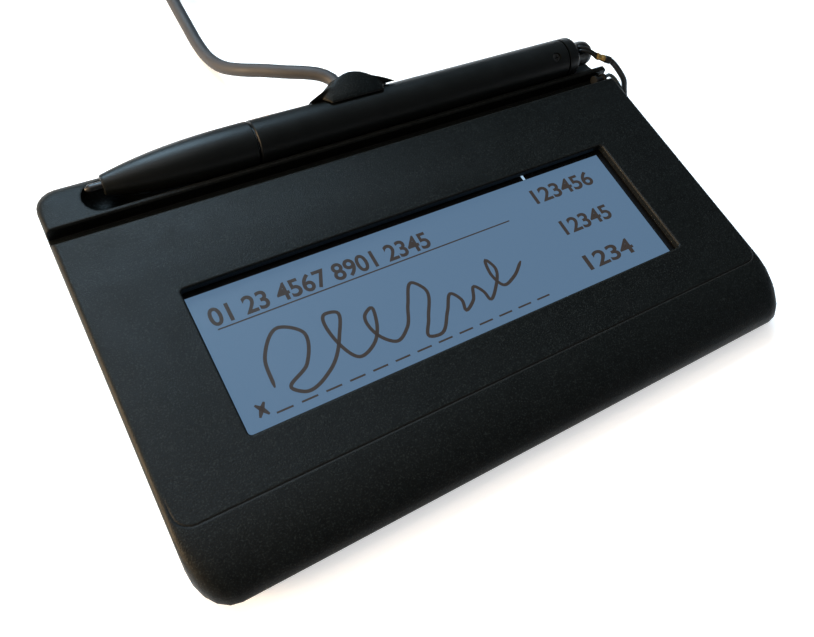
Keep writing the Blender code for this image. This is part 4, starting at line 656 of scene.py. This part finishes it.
# Pen: the same outline as in the part's source, with its chamfers, seam and cross-head screw.
# Profiles are (radius, height) points along the pen's axis.
PEN_AXIS = Vector((0, 0.0637, 0.0008))
PEN_RADIUS = 0.00525
PEN_BORE = 0.00435
BARREL_START_X = -0.0281
BARREL_END_X = 0.0627
PEN_CHAMFER = 0.00028
NOSE_START_X = -0.0624
NOSE_END_X = -0.0284
NOSE_TIP_RADIUS = 0.00225
NOSE_ROUND = 0.00035
NOSE_CORNER = NOSE_ROUND * 0.3
NOSE_STATIONS = 28
NOSE_SPACING_POWER = 1.5
NOSE_SHAPE_POWER = 2.6
NIB_HOLE = 0.0012
NOSE_HOLLOW = ((0.0032, -0.0454), (NIB_HOLE, -0.0539))
NIB_PROFILE = (
    (0, -0.046), (0.001, -0.046), (0.001, -0.0648), (0.00092, -0.0651), (0.0006, -0.0656),
    (0.0005, -0.0658), (0.00036, -0.06595), (0.0, -0.066),
)
PEN_SCREW_X = 0.0584
PEN_SCREW_TURN = math.radians(122)
PEN_SCREW_RADIUS = 0.0012
PEN_SCREW_SINK = 0.00025
PEN_SCREW_BASE = PEN_BORE + 0.00035
PEN_SCREW_CROSS = (0.00078, 0.0003, 0.0004)
PEN_POCKET_RADIUS = PEN_SCREW_RADIUS + 0.00012
PEN_POCKET_BASE = PEN_BORE + 0.0003
PEN_POCKET_TOP = 0.006
PEN_SIDES = 96
ALONG_PEN = PANEL @ Matrix.Translation(PEN_AXIS) @ Matrix.Rotation(math.pi / 2, 4, "Y")


def cross_recess(place, reach, width, depth):
    """Two tools that cut a cross into a screw's head, at the origin of a place and down its Z."""
    return [block("recess", low, high, place=place) for low, high in (
        ((-reach, -width / 2, -depth), (reach, width / 2, depth)),
        ((-width / 2, -reach, -depth), (width / 2, reach, depth)),
    )]


def build_pen():
    """Nib, nose, barrel and screw."""
    nib = turned("pen_nib_tip", NIB_PROFILE, ALONG_PEN, 40)
    dress(nib, "pen", "nib_dark", "steel", "pen_nib")
    profile = [(NIB_HOLE, NOSE_START_X), (NOSE_TIP_RADIUS - NOSE_ROUND, NOSE_START_X),
               (NOSE_TIP_RADIUS - NOSE_CORNER, NOSE_START_X + NOSE_CORNER)]
    start = NOSE_START_X + NOSE_ROUND
    for step in range(NOSE_STATIONS + 1):
        share = (step / NOSE_STATIONS) ** NOSE_SPACING_POWER
        swell = 1 - (1 - share) ** NOSE_SHAPE_POWER
        profile.append((NOSE_TIP_RADIUS + (PEN_RADIUS - NOSE_TIP_RADIUS) * swell,
                        start + (NOSE_END_X - PEN_CHAMFER - start) * share))
    profile += [(PEN_RADIUS - PEN_CHAMFER, NOSE_END_X), (PEN_BORE, NOSE_END_X), *NOSE_HOLLOW]
    nose = turned("pen_nose_skin", profile, ALONG_PEN, PEN_SIDES, ring=True)
    dress(nose, "pen", "pen_black", "pen_black", "pen_nose")
    barrel = turned("pen_barrel_skin", (
        (PEN_BORE, BARREL_START_X), (PEN_RADIUS - PEN_CHAMFER, BARREL_START_X),
        (PEN_RADIUS, BARREL_START_X + PEN_CHAMFER), (PEN_RADIUS, BARREL_END_X - PEN_CHAMFER),
        (PEN_RADIUS - PEN_CHAMFER, BARREL_END_X), (PEN_BORE, BARREL_END_X),
    ), ALONG_PEN, PEN_SIDES, ring=True)
    around = Matrix.Rotation(PEN_SCREW_TURN - math.pi / 2, 4, "X")
    seat = PANEL @ Matrix.Translation(PEN_AXIS + Vector((PEN_SCREW_X, 0, 0))) @ around
    carve(barrel, turned("pocket", (
        (0, PEN_POCKET_BASE), (PEN_POCKET_RADIUS, PEN_POCKET_BASE),
        (PEN_POCKET_RADIUS, PEN_POCKET_TOP), (0, PEN_POCKET_TOP),
    ), seat, 32))
    dress(barrel, "pen", "pen_black", "pen_black", "pen_barrel")
    top = PEN_RADIUS - PEN_SCREW_SINK
    screw = turned("pen_screw_head", (
        (0, PEN_SCREW_BASE), (PEN_SCREW_RADIUS, PEN_SCREW_BASE), (PEN_SCREW_RADIUS, top - 0.00018),
        (PEN_SCREW_RADIUS * 0.86, top - 0.00003), (PEN_SCREW_RADIUS * 0.5, top), (0, top),
    ), seat, 32)
    carve(screw, *cross_recess(seat @ Matrix.Translation((0, 0, top)), *PEN_SCREW_CROSS))
    dress(screw, "pen", "screw_dark", "steel", "pen_screw")


build_pen()


# Underside: cross-head screws in the case's pockets
CASE_SCREW_RADIUS = 0.0011
CASE_HEAD_RADIUS = 0.0022
CASE_HEAD_HEIGHT = 0.0012
CASE_HEAD_PROFILE = (
    (CASE_HEAD_RADIUS, CASE_HEAD_HEIGHT), (CASE_HEAD_RADIUS, CASE_HEAD_HEIGHT * 0.35),
    (CASE_HEAD_RADIUS * 0.88, CASE_HEAD_HEIGHT * 0.12), (CASE_HEAD_RADIUS * 0.6, 0.00002), (0, 0),
)
CASE_SCREW_CROSS = (0.00125, 0.00042, 0.0007)


def build_case_screws():
    """The four case screws, each with its cross."""
    for place in ("front_left", "front_right", "rear_left", "rear_right"):
        low, high = (Vector(corner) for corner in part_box(f"case_screw_{place}"))
        height = high.z - low.z
        seat = Matrix.Translation(((low.x + high.x) / 2, (low.y + high.y) / 2, low.z))
        screw = turned(f"case_screw_head_{place}", (
            (0, height), (CASE_SCREW_RADIUS / 2, height),
            (CASE_SCREW_RADIUS, height - CASE_SCREW_RADIUS), (CASE_SCREW_RADIUS, CASE_HEAD_HEIGHT),
            *CASE_HEAD_PROFILE,
        ), seat, 40)
        carve(screw, *cross_recess(seat, *CASE_SCREW_CROSS))
        dress(screw, "housing", "screw_dark", "steel", f"case_screw_{place}")


build_case_screws()


# Coil tie: a woven strap that laps over itself
STRAP_MARGIN = 0.0003
STRAP_STEP = 0.0005
STRAP_TURN_STEP = math.radians(12)
STRAP_END_SHARE = 0.3
STRAP_OUTER_LEAN = 0.9
STRAP_LAP = 0.0085
STRAP_LAP_RISE = 1.08
STRAP_RISE_COUNT = 3
STRAP_EDGE = 0.00014
STRAP_SIDES = ((-1, -1), (-1, 1), (1, 1), (1, -1))
STRAP_SHARP_DEGREES = 50
HULL_STEPS = 12


def ribbon(name, points, normals, width, thickness):
    """A flat strap with rounded edges. It lies across Y."""
    half_width = width / 2 - STRAP_EDGE
    half_thickness = thickness / 2 - STRAP_EDGE
    outline = []
    for sign_width, sign_thickness in STRAP_SIDES:
        for step in range(3):
            angle = math.pi / 4 * step
            if sign_width * sign_thickness < 0:
                angle = math.pi / 2 - angle
            outline.append((sign_width * (half_width + STRAP_EDGE * math.cos(angle)),
                            sign_thickness * (half_thickness + STRAP_EDGE * math.sin(angle))))
    shape = bmesh.new()
    skin(shape, [[shape.verts.new(point + Vector((0, across, 0)) + normal * out)
                  for across, out in outline] for point, normal in zip(points, normals)])
    item = add_mesh(name, shape)
    sharpen(item, STRAP_SHARP_DEGREES)
    return item


def bundle_hull(middle_y, half_width):
    """The tight polygon in X and Z round the coil's turns under the strap, counterclockwise."""
    wound = smooth_route(coil_points(), WOUND_SPACING)
    centres = set()
    for earlier, later in zip(wound, wound[1:]):
        for step in range(HULL_STEPS):
            point = earlier.lerp(later, step / HULL_STEPS)
            if point.x > COIL_X and abs(point.y - middle_y) < half_width:
                centres.add((point.x, point.z))
    hull = []
    for run in (sorted(centres), sorted(centres, reverse=True)):
        chain = []
        for x, z in run:
            while len(chain) > 1:
                (first_x, first_z), (last_x, last_z) = chain[-2:]
                if (last_x - first_x) * (z - first_z) > (last_z - first_z) * (x - first_x):
                    break
                chain.pop()
            chain.append((x, z))
        hull += chain[:-1]
    return [Vector((x, 0, z)) for x, z in hull]


def strap_way(hull, reach):
    """Points and outward normals of a strap at a distance from the hull's corners."""
    way = []
    for index, corner in enumerate(hull):
        before = corner - hull[index - 1]
        after = hull[(index + 1) % len(hull)] - corner
        turn = math.atan2(-before.x, before.z)
        bend = (math.atan2(-after.x, after.z) - turn) % math.tau
        steps = max(1, math.ceil(bend / STRAP_TURN_STEP))
        for step in range(steps + 1):
            angle = turn + bend * step / steps
            normal = Vector((math.cos(angle), 0, math.sin(angle)))
            way.append((corner + normal * reach, normal))
        span = max(1, round(after.length / STRAP_STEP))
        for step in range(1, span):
            way.append((way[-1][0] + after / span, normal))
    return way


def build_tie():
    """The strap pulled tight round the coil's bundle, lapped on its outer side."""
    low, high = (Vector(corner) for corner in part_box("coil_tie"))
    middle = (low + high) / 2
    hull = bundle_hull(middle.y, (high.y - low.y) / 2 + STRAP_MARGIN)
    way = strap_way(hull, LEAD_RADIUS + TIE_CLEARANCE + TIE_THICKNESS / 2)
    outer = [index for index, (_, normal) in enumerate(way) if normal.x > STRAP_OUTER_LEAN]
    start = min(outer, key=lambda index: abs(way[index][0].z - STRAP_END_SHARE * high.z))
    way = way[start:] + way[:start]
    lap_count = round(STRAP_LAP / STRAP_STEP)
    points = []
    normals = []
    for index, (point, normal) in enumerate(way + way[:lap_count]):
        rise = (index - len(way) + STRAP_RISE_COUNT) / STRAP_RISE_COUNT
        lift = TIE_THICKNESS * STRAP_LAP_RISE * smooth_share(rise)
        points.append(point + normal * lift + Vector((0, middle.y, 0)))
        normals.append(normal)
    strap = ribbon("coil_strap", points, normals, high.y - low.y, TIE_THICKNESS)
    dress(strap, "housing", "strap_woven", "rubber", "coil_tie")
    return strap


# Plug: ribbed grip with a bend guard, folded steel shell with its windows, tongue with contacts
GRIP_EDGE = 0.0016
GRIP_EDGE_STEPS = 5
GRIP_GROOVES = 6
GRIP_PITCH = 0.0017
GROOVE_HALF_WIDTH = 0.00035
GROOVE_HALF_LENGTH = 0.0048
GROOVE_DEPTH = 0.00035
GUARD_START = 0.0065
GUARD_PROFILE = (
    (0.00176, 0.0), (0.0022, 0.0), (0.0025, 0.0003), (0.0025, 0.0009), (0.0021, 0.0011),
    (0.0021, 0.0015), (0.0027, 0.0017), (0.0027, 0.0025), (0.0022, 0.0027), (0.0022, 0.0031),
    (0.0029, 0.0033), (0.0029, 0.0042), (0.0024, 0.0044), (0.0024, 0.0048), (0.0032, 0.0051),
    (0.0033, 0.0066), (0.00176, 0.0066),
)
SHELL_EDGE = 0.0006
SHELL_EDGE_STEPS = 4
SHELL_WALL = 0.0003
SHELL_WINDOW_Y = 0.003
SHELL_WINDOW_HALF = 0.00115
SHELL_WINDOW_BACK = 0.0071
SHELL_WINDOW_FRONT = 0.0052
SHELL_SEAM_HALF = 0.00006
SHELL_SEAM_START = 0.0004
SHELL_SEAM_DEPTH = 0.0002
PAST = 0.001
CONTACT_PLACES = ((-0.0035, 0.0086), (-0.001, 0.0076), (0.001, 0.0076), (0.0035, 0.0086))
CONTACT_FRONT = 0.0008
CONTACT_HALF_WIDTH = 0.0005
CONTACT_SINK = 0.00002
CONTACT_RISE = 0.0001
CONTACT_EDGE = 0.00004


def build_plug():
    """The plug's pieces, at their nodes' places."""
    low, high = (Vector(corner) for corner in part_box("usb_plug_grip"))
    shell_low, shell_high = (Vector(corner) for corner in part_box("usb_plug_shell"))
    tongue_high = Vector(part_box("usb_plug_tongue")[1])
    middle = (low + high) / 2
    grip = block("plug_grip_ribbed", low, high, GRIP_EDGE, GRIP_EDGE_STEPS)
    gap = Vector([SEAT_GAP] * 3)
    pocket_end = Vector((high.x + PAST, shell_high.y + SEAT_GAP, shell_high.z + SEAT_GAP))
    tools = [block("pocket", shell_low - gap, pocket_end)]
    for index in range(GRIP_GROOVES):
        x = middle.x + GRIP_PITCH * (index - (GRIP_GROOVES - 1) / 2)
        for face in (high.z, low.z):
            start = (x - GROOVE_HALF_WIDTH, middle.y - GROOVE_HALF_LENGTH, face - GROOVE_DEPTH)
            end = (x + GROOVE_HALF_WIDTH, middle.y + GROOVE_HALF_LENGTH, face + GROOVE_DEPTH)
            tools.append(block("groove", start, end))
    carve(grip, *tools)
    dress(grip, "housing", "plug_rubber", "cord_black", "usb_plug_grip")
    guard_place = (Matrix.Translation((low.x - GUARD_START, middle.y, middle.z))
                   @ Matrix.Rotation(math.pi / 2, 4, "Y"))
    guard = turned("plug_bend_guard", GUARD_PROFILE, guard_place, 40, ring=True)
    dress(guard, "housing", "plug_rubber", "cord_black")
    shell = block("plug_shell_folded", shell_low, shell_high, SHELL_EDGE, SHELL_EDGE_STEPS)
    wall = Vector([SHELL_WALL] * 3)
    tools = [block("hollow", shell_low + wall, shell_high - wall + Vector((2 * PAST, 0, 0)))]
    for side in (-1, 1):
        centre_y = middle.y + side * SHELL_WINDOW_Y
        start = (shell_high.x - SHELL_WINDOW_BACK, centre_y - SHELL_WINDOW_HALF, shell_low.z - PAST)
        end = (shell_high.x - SHELL_WINDOW_FRONT, centre_y + SHELL_WINDOW_HALF, shell_high.z + PAST)
        tools.append(block("window", start, end))
    start = (high.x + SHELL_SEAM_START, middle.y - SHELL_SEAM_HALF, shell_low.z - SHELL_SEAM_DEPTH)
    end = (shell_high.x + PAST, middle.y + SHELL_SEAM_HALF, shell_low.z + SHELL_SEAM_DEPTH)
    tools.append(block("seam", start, end))
    carve(shell, *tools)
    dress(shell, "housing", "steel", "steel", "usb_plug_shell")
    contacts = []
    for index, (offset, back) in enumerate(CONTACT_PLACES):
        across = middle.y + offset
        start = (tongue_high.x - back, across - CONTACT_HALF_WIDTH, tongue_high.z - CONTACT_SINK)
        end = (tongue_high.x - CONTACT_FRONT, across + CONTACT_HALF_WIDTH,
               tongue_high.z + CONTACT_RISE)
        contact = block(f"plug_contact_{index}", start, end, CONTACT_EDGE)
        dress(contact, "housing", "gold", "brass")
        contacts.append(contact)
    return [grip, guard, shell] + contacts


# Tether's loop, ferrule and sleeve, from the slot in the pen's end cap to the cord
LOOP_RADIUS = 0.0004
LOOP_HALF_GAP = 0.00052
LOOP_SINK = 0.0006
LOOP_SIDES = 14
LOOP_HEIGHTS = (0.0018, 0.0027, 0.0034)
LOOP_TURN_HEIGHT = 0.0014
LOOP_KNOTS = ((0.0676, 0.06237, 0.00445), (0.0684, 0.0617, 0.0048), (0.0697, 0.06075, 0.0047),
              (0.071, 0.05983, 0.00412))
CAP_SLOT = Vector((0.0676, 0, 0))
CAP_SLOT_TURN = math.radians(110)
FERRULE_START = Vector((0.072, 0.05913, 0.00363))
FERRULE_END = Vector((0.074, 0.05786, 0.00332))
FERRULE_WIDTH = 0.00212
FERRULE_FLATNESS = 0.8
FERRULE_SIDES = 28
FERRULE_SHARP_DEGREES = 40
FERRULE_MARKS = (
    (0.0, 0.8), (0.0, 0.97), (0.05, 1.0), (0.24, 1.0), (0.34, 0.86), (0.62, 0.86), (0.74, 1.0),
    (0.95, 1.0), (1.0, 0.97), (1.0, 0.8),
)
FERRULE_MARK_STEP = 0.001
SLEEVE_RADIUS = 0.001
SLEEVE_GAP = 0.0001
SLEEVE_BEND = 0.0006
SLEEVE_SPACING = 0.00012
SLEEVE_END_SIZE = 0.9
SLEEVE_SIDES = 24


def build_tether_end():
    """Two strands of thin cord out of the cap, gathered by a crimped ferrule and a short sleeve."""
    run = (FERRULE_END - FERRULE_START).normalized()
    up = Vector((0, math.cos(CAP_SLOT_TURN), math.sin(CAP_SLOT_TURN)))
    across = Vector((0, math.sin(CAP_SLOT_TURN), -math.cos(CAP_SLOT_TURN)))
    mouth_side = (across - run * across.dot(run)).normalized()
    strands = []
    for sign in (1, -1):
        half = LOOP_HALF_GAP * sign
        strand = [PEN_AXIS + CAP_SLOT + up * height + across * half for height in LOOP_HEIGHTS]
        strand += [Vector(knot) + across * half for knot in LOOP_KNOTS]
        strand += [FERRULE_START + mouth_side * half,
                   FERRULE_START + run * LOOP_SINK + mouth_side * half]
        strands.append(strand)
    turn = PEN_AXIS + CAP_SLOT + up * LOOP_TURN_HEIGHT
    knots = strands[0][::-1] + [turn] + strands[1]
    path = [PANEL @ point for point in smooth_route(knots, LOOP_RADIUS / 2)]
    loop = tube_mesh("tether_loop_cord", path, LOOP_RADIUS, LOOP_SIDES)
    dress(loop, "pen", "cord_black", "cord_black", "tether_loop")

    length = (FERRULE_END - FERRULE_START).length
    path = [PANEL @ (FERRULE_START + run * length * (share + FERRULE_MARK_STEP * index))
            for index, (share, _) in enumerate(FERRULE_MARKS)]
    sizes = [FERRULE_WIDTH / 2 * size for _, size in FERRULE_MARKS]
    ferrule = tube_mesh("tether_ferrule_crimped", path, sizes, FERRULE_SIDES, FERRULE_FLATNESS)
    sharpen(ferrule, FERRULE_SHARP_DEGREES)
    dress(ferrule, "pen", "brass", "brass", "tether_ferrule")

    first, second = tether_route[:2]
    meet = first + (second - first).normalized() * SLEEVE_GAP
    knots = [PANEL @ (FERRULE_END + run * reach) for reach in (SLEEVE_GAP, SLEEVE_BEND)]
    path = smooth_route(knots + [meet], SLEEVE_SPACING)
    sizes = []
    for index in range(len(path)):
        from_end = min(1.0, min(index, len(path) - 1 - index) / 2)
        sizes.append(SLEEVE_RADIUS * (SLEEVE_END_SIZE + (1 - SLEEVE_END_SIZE) * from_end))
    sleeve = tube_mesh("tether_sleeve_shrunk", path, sizes, SLEEVE_SIDES)
    dress(sleeve, "pen", "cord_black", "cord_black", "tether_sleeve")
    return [loop, ferrule, sleeve]


[NODES["usb_plug_tongue"], build_tie()] + build_plug()
[NODES["tether_crimp"]] + build_tether_end()

# Display picture: a blue field with dark marks, on the panel's face
DISPLAY_FACE = -0.0032
FIELD_LIFT = 0.00003
PLATE_THICKNESS = FIELD_LIFT * 0.8
MARK_LIFT = 0.00006
MARK_THICKNESS = MARK_LIFT / 3
CELL_PITCH = 0.00024
CELL_EDGE_SPAN = (0.8, 0.98)
DASH_COUNT = 13
DASH_START = -0.0499
DASH_STEP = 0.00543
DASH_LENGTH = 0.0036
DASH_LOW_Y = 0.0028
DASH_HIGH_Y = 0.00322
CAP_HEIGHT = 0.7
NUMERAL_WEIGHT = 0.022
NUMERAL_DEPTH = 0.01
NUMERAL_SQUASH = 0.001
NUMERAL_ROWS = (
    ("mark_heading", "01 23 4567 8901 2345", -0.0538, 0.0253, 0.0042, 0.0534),
    ("mark_key_top", "123456", 0.0312, 0.026, 0.0041, 0.019),
    ("mark_key_middle", "12345", 0.0331, 0.0153, 0.0041, 0.0153),
    ("mark_key_bottom", "1234", 0.0328, 0.0045, 0.0041, 0.0149),
)
STROKE_END_SIZE = 0.45
STROKE_END_GROWTH = 0.2
STROKES = (
    ("mark_cross_a", 0.001, ((-53.2, 3.4), (-52.3, 4.8), (-51.2, 6.2))),
    ("mark_cross_b", 0.001, ((-53.2, 6.2), (-52.1, 4.8), (-51.2, 3.4))),
    ("mark_scribble", 0.0008, (
        (-48, 8), (-47, 15), (-42, 20), (-37.5, 17), (-40, 10), (-45, 6.5), (-43, 4.8), (-36, 7),
        (-31, 13), (-29, 18.5), (-31.5, 19), (-32, 12), (-29, 7), (-25, 8.5), (-22, 13),
        (-21.5, 16.5), (-23.5, 15.5), (-23, 9.5), (-20, 7), (-16.5, 9), (-13.5, 14), (-10, 18.5),
        (-8, 16), (-11, 9), (-13, 5.2), (-10.5, 4.6), (-6, 9), (-3, 12.5), (-1.5, 10), (-2, 7.4),
        (1, 9), (3, 12), (4.5, 9.8), (4.8, 7.6), (8, 10), (10.5, 14.5), (9.5, 17), (8.6, 13),
        (10, 9.5), (13.5, 10.5), (17.5, 13.5),
    )),
)


def glowing(name, color, spread):
    """The display's own light, with the faint grid of its cells."""
    surface = Surface(name, (0.002, 0.002, 0.002), 0.45, specular=0.15)
    place = surface.node("SeparateXYZ", {"Vector": surface.place})
    per_metre = math.tau / CELL_PITCH
    waves = [surface.calculate("SINE", surface.calculate("MULTIPLY", place[axis], per_metre))
             for axis in ("X", "Y")]
    low = tuple(channel * (1 - spread) for channel in color)
    high = tuple(channel * (1 + spread / 3) for channel in color)
    light = surface.ramp(surface.calculate("MAXIMUM", *waves), high, low, *CELL_EDGE_SPAN)
    surface.set("Emission Color", light)
    surface.set("Emission Strength", 1.0)
    return surface.material


FIELD_BLUE = glowing("display_field", (0.107, 0.191, 0.305), 0.1)
MARK_BROWN = glowing("display_mark", (0.042, 0.033, 0.029), 0.06)
# A small light-blue glowing mark on the black border: a painted glint, not light of the display
# itself
PAINTED_GLINT_BLUE = glowing("display_painted_glint", (0.42, 0.62, 0.82), 0.05)


def show(item, x, y, lift, material):
    """Put a piece made in the panel's plane on the display's face, as a part of the housing."""
    item.data.materials.append(material)
    item.matrix_world = PANEL @ Matrix.Translation((x, y, DISPLAY_FACE + lift))
    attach(item, "housing")


def flat_plate(name, low, high, lift, material):
    """A thin rectangle between two corners on the display."""
    shape = bmesh.new()
    corners = ((low[0], low[1]), (high[0], low[1]), (high[0], high[1]), (low[0], high[1]))
    skin(shape, [[shape.verts.new((x, y, z)) for x, y in corners] for z in (0, PLATE_THICKNESS)])
    show(add_mesh(name, shape), 0, 0, lift, material)


def stroke(name, width, points):
    """A flat pen stroke with round turns through points in the panel's plane, in millimetres."""
    route = smooth_route([(x / 1000, y / 1000, 0) for x, y in points], width / 2)
    thickness = Vector((0, 0, MARK_THICKNESS))
    shape = bmesh.new()
    rings = []
    for index, point in enumerate(route):
        ahead = route[min(index + 1, len(route) - 1)] - route[max(index - 1, 0)]
        side = Vector((-ahead.y, ahead.x, 0)).normalized() * width / 2
        from_end = min(index, len(route) - 1 - index)
        side *= min(1.0, STROKE_END_SIZE + STROKE_END_GROWTH * from_end)
        rings.append([shape.verts.new(corner) for corner in (
            point + side, point - side, point - side + thickness, point + side + thickness)])
    skin(shape, rings)
    show(add_mesh(name, shape), 0, 0, MARK_LIFT, MARK_BROWN)


def numerals(name, text, x, y, height, width):
    """Plain numerals of a height and width, from their lower left corner."""
    curve = bpy.data.curves.new(name, "FONT")
    curve.body = text
    curve.size = 1.0
    curve.offset = NUMERAL_WEIGHT
    curve.extrude = NUMERAL_DEPTH
    holder = add_object(name, curve)
    mesh = evaluated_mesh(holder)
    bpy.data.objects.remove(holder, do_unlink=True)
    xs = [vertex.co.x for vertex in mesh.vertices]
    grow = Matrix.Diagonal((width / (max(xs) - min(xs)), height / CAP_HEIGHT, NUMERAL_SQUASH, 1.0))
    mesh.transform(grow @ Matrix.Translation((-min(xs), 0, NUMERAL_DEPTH)))
    mesh.materials.clear()
    show(add_object(name, mesh), x, y, MARK_LIFT, MARK_BROWN)


flat_plate("display_field", (-0.057, 0), (0.0563, 0.0335), FIELD_LIFT, FIELD_BLUE)
# Painted glint: a glowing light-blue mark on the black border just past the field
flat_plate("display_painted_glint", (0.0319, 0.0336), (0.0326, 0.0362), FIELD_LIFT, PAINTED_GLINT_BLUE)
flat_plate("mark_underline", (-0.0531, 0.0242), (0.0213, 0.02452), MARK_LIFT, MARK_BROWN)
for dash in range(DASH_COUNT):
    left = DASH_START + DASH_STEP * dash
    ends = (left, DASH_LOW_Y), (left + DASH_LENGTH, DASH_HIGH_Y)
    flat_plate(f"mark_dash_{dash:02d}", *ends, MARK_LIFT, MARK_BROWN)
for row in NUMERAL_ROWS:
    numerals(*row)
for row in STROKES:
    stroke(*row)


# Stage: a pale floor that the camera and mirrored rays see near white, a dim world and soft lamps
FLOOR_HALF = 6.0
FLOOR_DROP = 0.00002
GLOW_DISTANCES = (0.4, 1.5)
GLOW_STRENGTHS = (0.55, 0.9)
WORLD_STRENGTH = 0.15


def add_floor():
    """The floor. Its own glow fills it up towards white and keeps the shadow under the object."""
    shape = bmesh.new()
    bmesh.ops.create_grid(shape, x_segments=2, y_segments=2, size=FLOOR_HALF)
    floor = add_mesh("floor", shape)
    floor.location.z = -FLOOR_DROP
    surface = Surface("floor_pale", (0.8, 0.8, 0.8), 0.9, specular=0.0)
    rays = surface.node("LightPath")
    mirrored = surface.calculate("MAXIMUM", rays["Is Glossy Ray"], rays["Is Transmission Ray"])
    seen = surface.calculate("MAXIMUM", rays["Is Camera Ray"], mirrored)
    distance = surface.node("VectorMath", {0: surface.place}, operation="LENGTH")["Value"]
    glow = surface.remap(distance, *GLOW_DISTANCES, *GLOW_STRENGTHS)
    surface.set("Emission Color", (1.0, 1.0, 1.0))
    surface.set("Emission Strength", surface.calculate("MULTIPLY", seen, glow))
    floor.data.materials.append(surface.material)


def add_world():
    """White where the camera sees it, and a dim bluish light on everything else."""
    world = bpy.data.worlds.new("studio")
    bpy.context.scene.world = world
    world.use_nodes = True
    tree = world.node_tree
    dim = tree.nodes["Background"]
    feed(tree, dim.inputs["Color"], (0.8, 0.88, 1.0))
    feed(tree, dim.inputs["Strength"], WORLD_STRENGTH)
    white = add_node(tree, "Background", {"Color": (1.0, 1.0, 1.0), "Strength": 1.0})["Background"]
    seen = add_node(tree, "LightPath")["Is Camera Ray"]
    blend = add_node(tree, "MixShader", {"Fac": seen, 1: dim.outputs["Background"], 2: white})
    feed(tree, tree.nodes["World Output"].inputs["Surface"], blend["Shader"])


def area_light(name, place, target, size, power, color):
    """A soft square lamp."""
    data = bpy.data.lights.new(name, "AREA")
    data.energy = power
    data.size = size
    data.color = color
    item = add_object(name, data)
    item.location = place
    item.rotation_euler = (Vector(target) - Vector(place)).to_track_quat("-Z", "Y").to_euler()


add_floor()
add_world()
area_light("window_light", (-0.1, 0.8, 0.85), (-0.02, 0.0, 0.01), 0.6, 20.0, (0.55, 0.8, 1.0))
area_light("left_warm", (-0.62, 0.1, 0.16), (0.0, 0.0, 0.01), 0.3, 11.0, (1.0, 0.7, 0.4))
area_light("top_soft", (-0.3, 0.2, 1.1), (0.0, 0.0, 0.0), 0.8, 4.8, (1.0, 1.0, 1.0))

bpy.context.scene.view_settings.view_transform = "Standard"

bpy.context.view_layer.update()
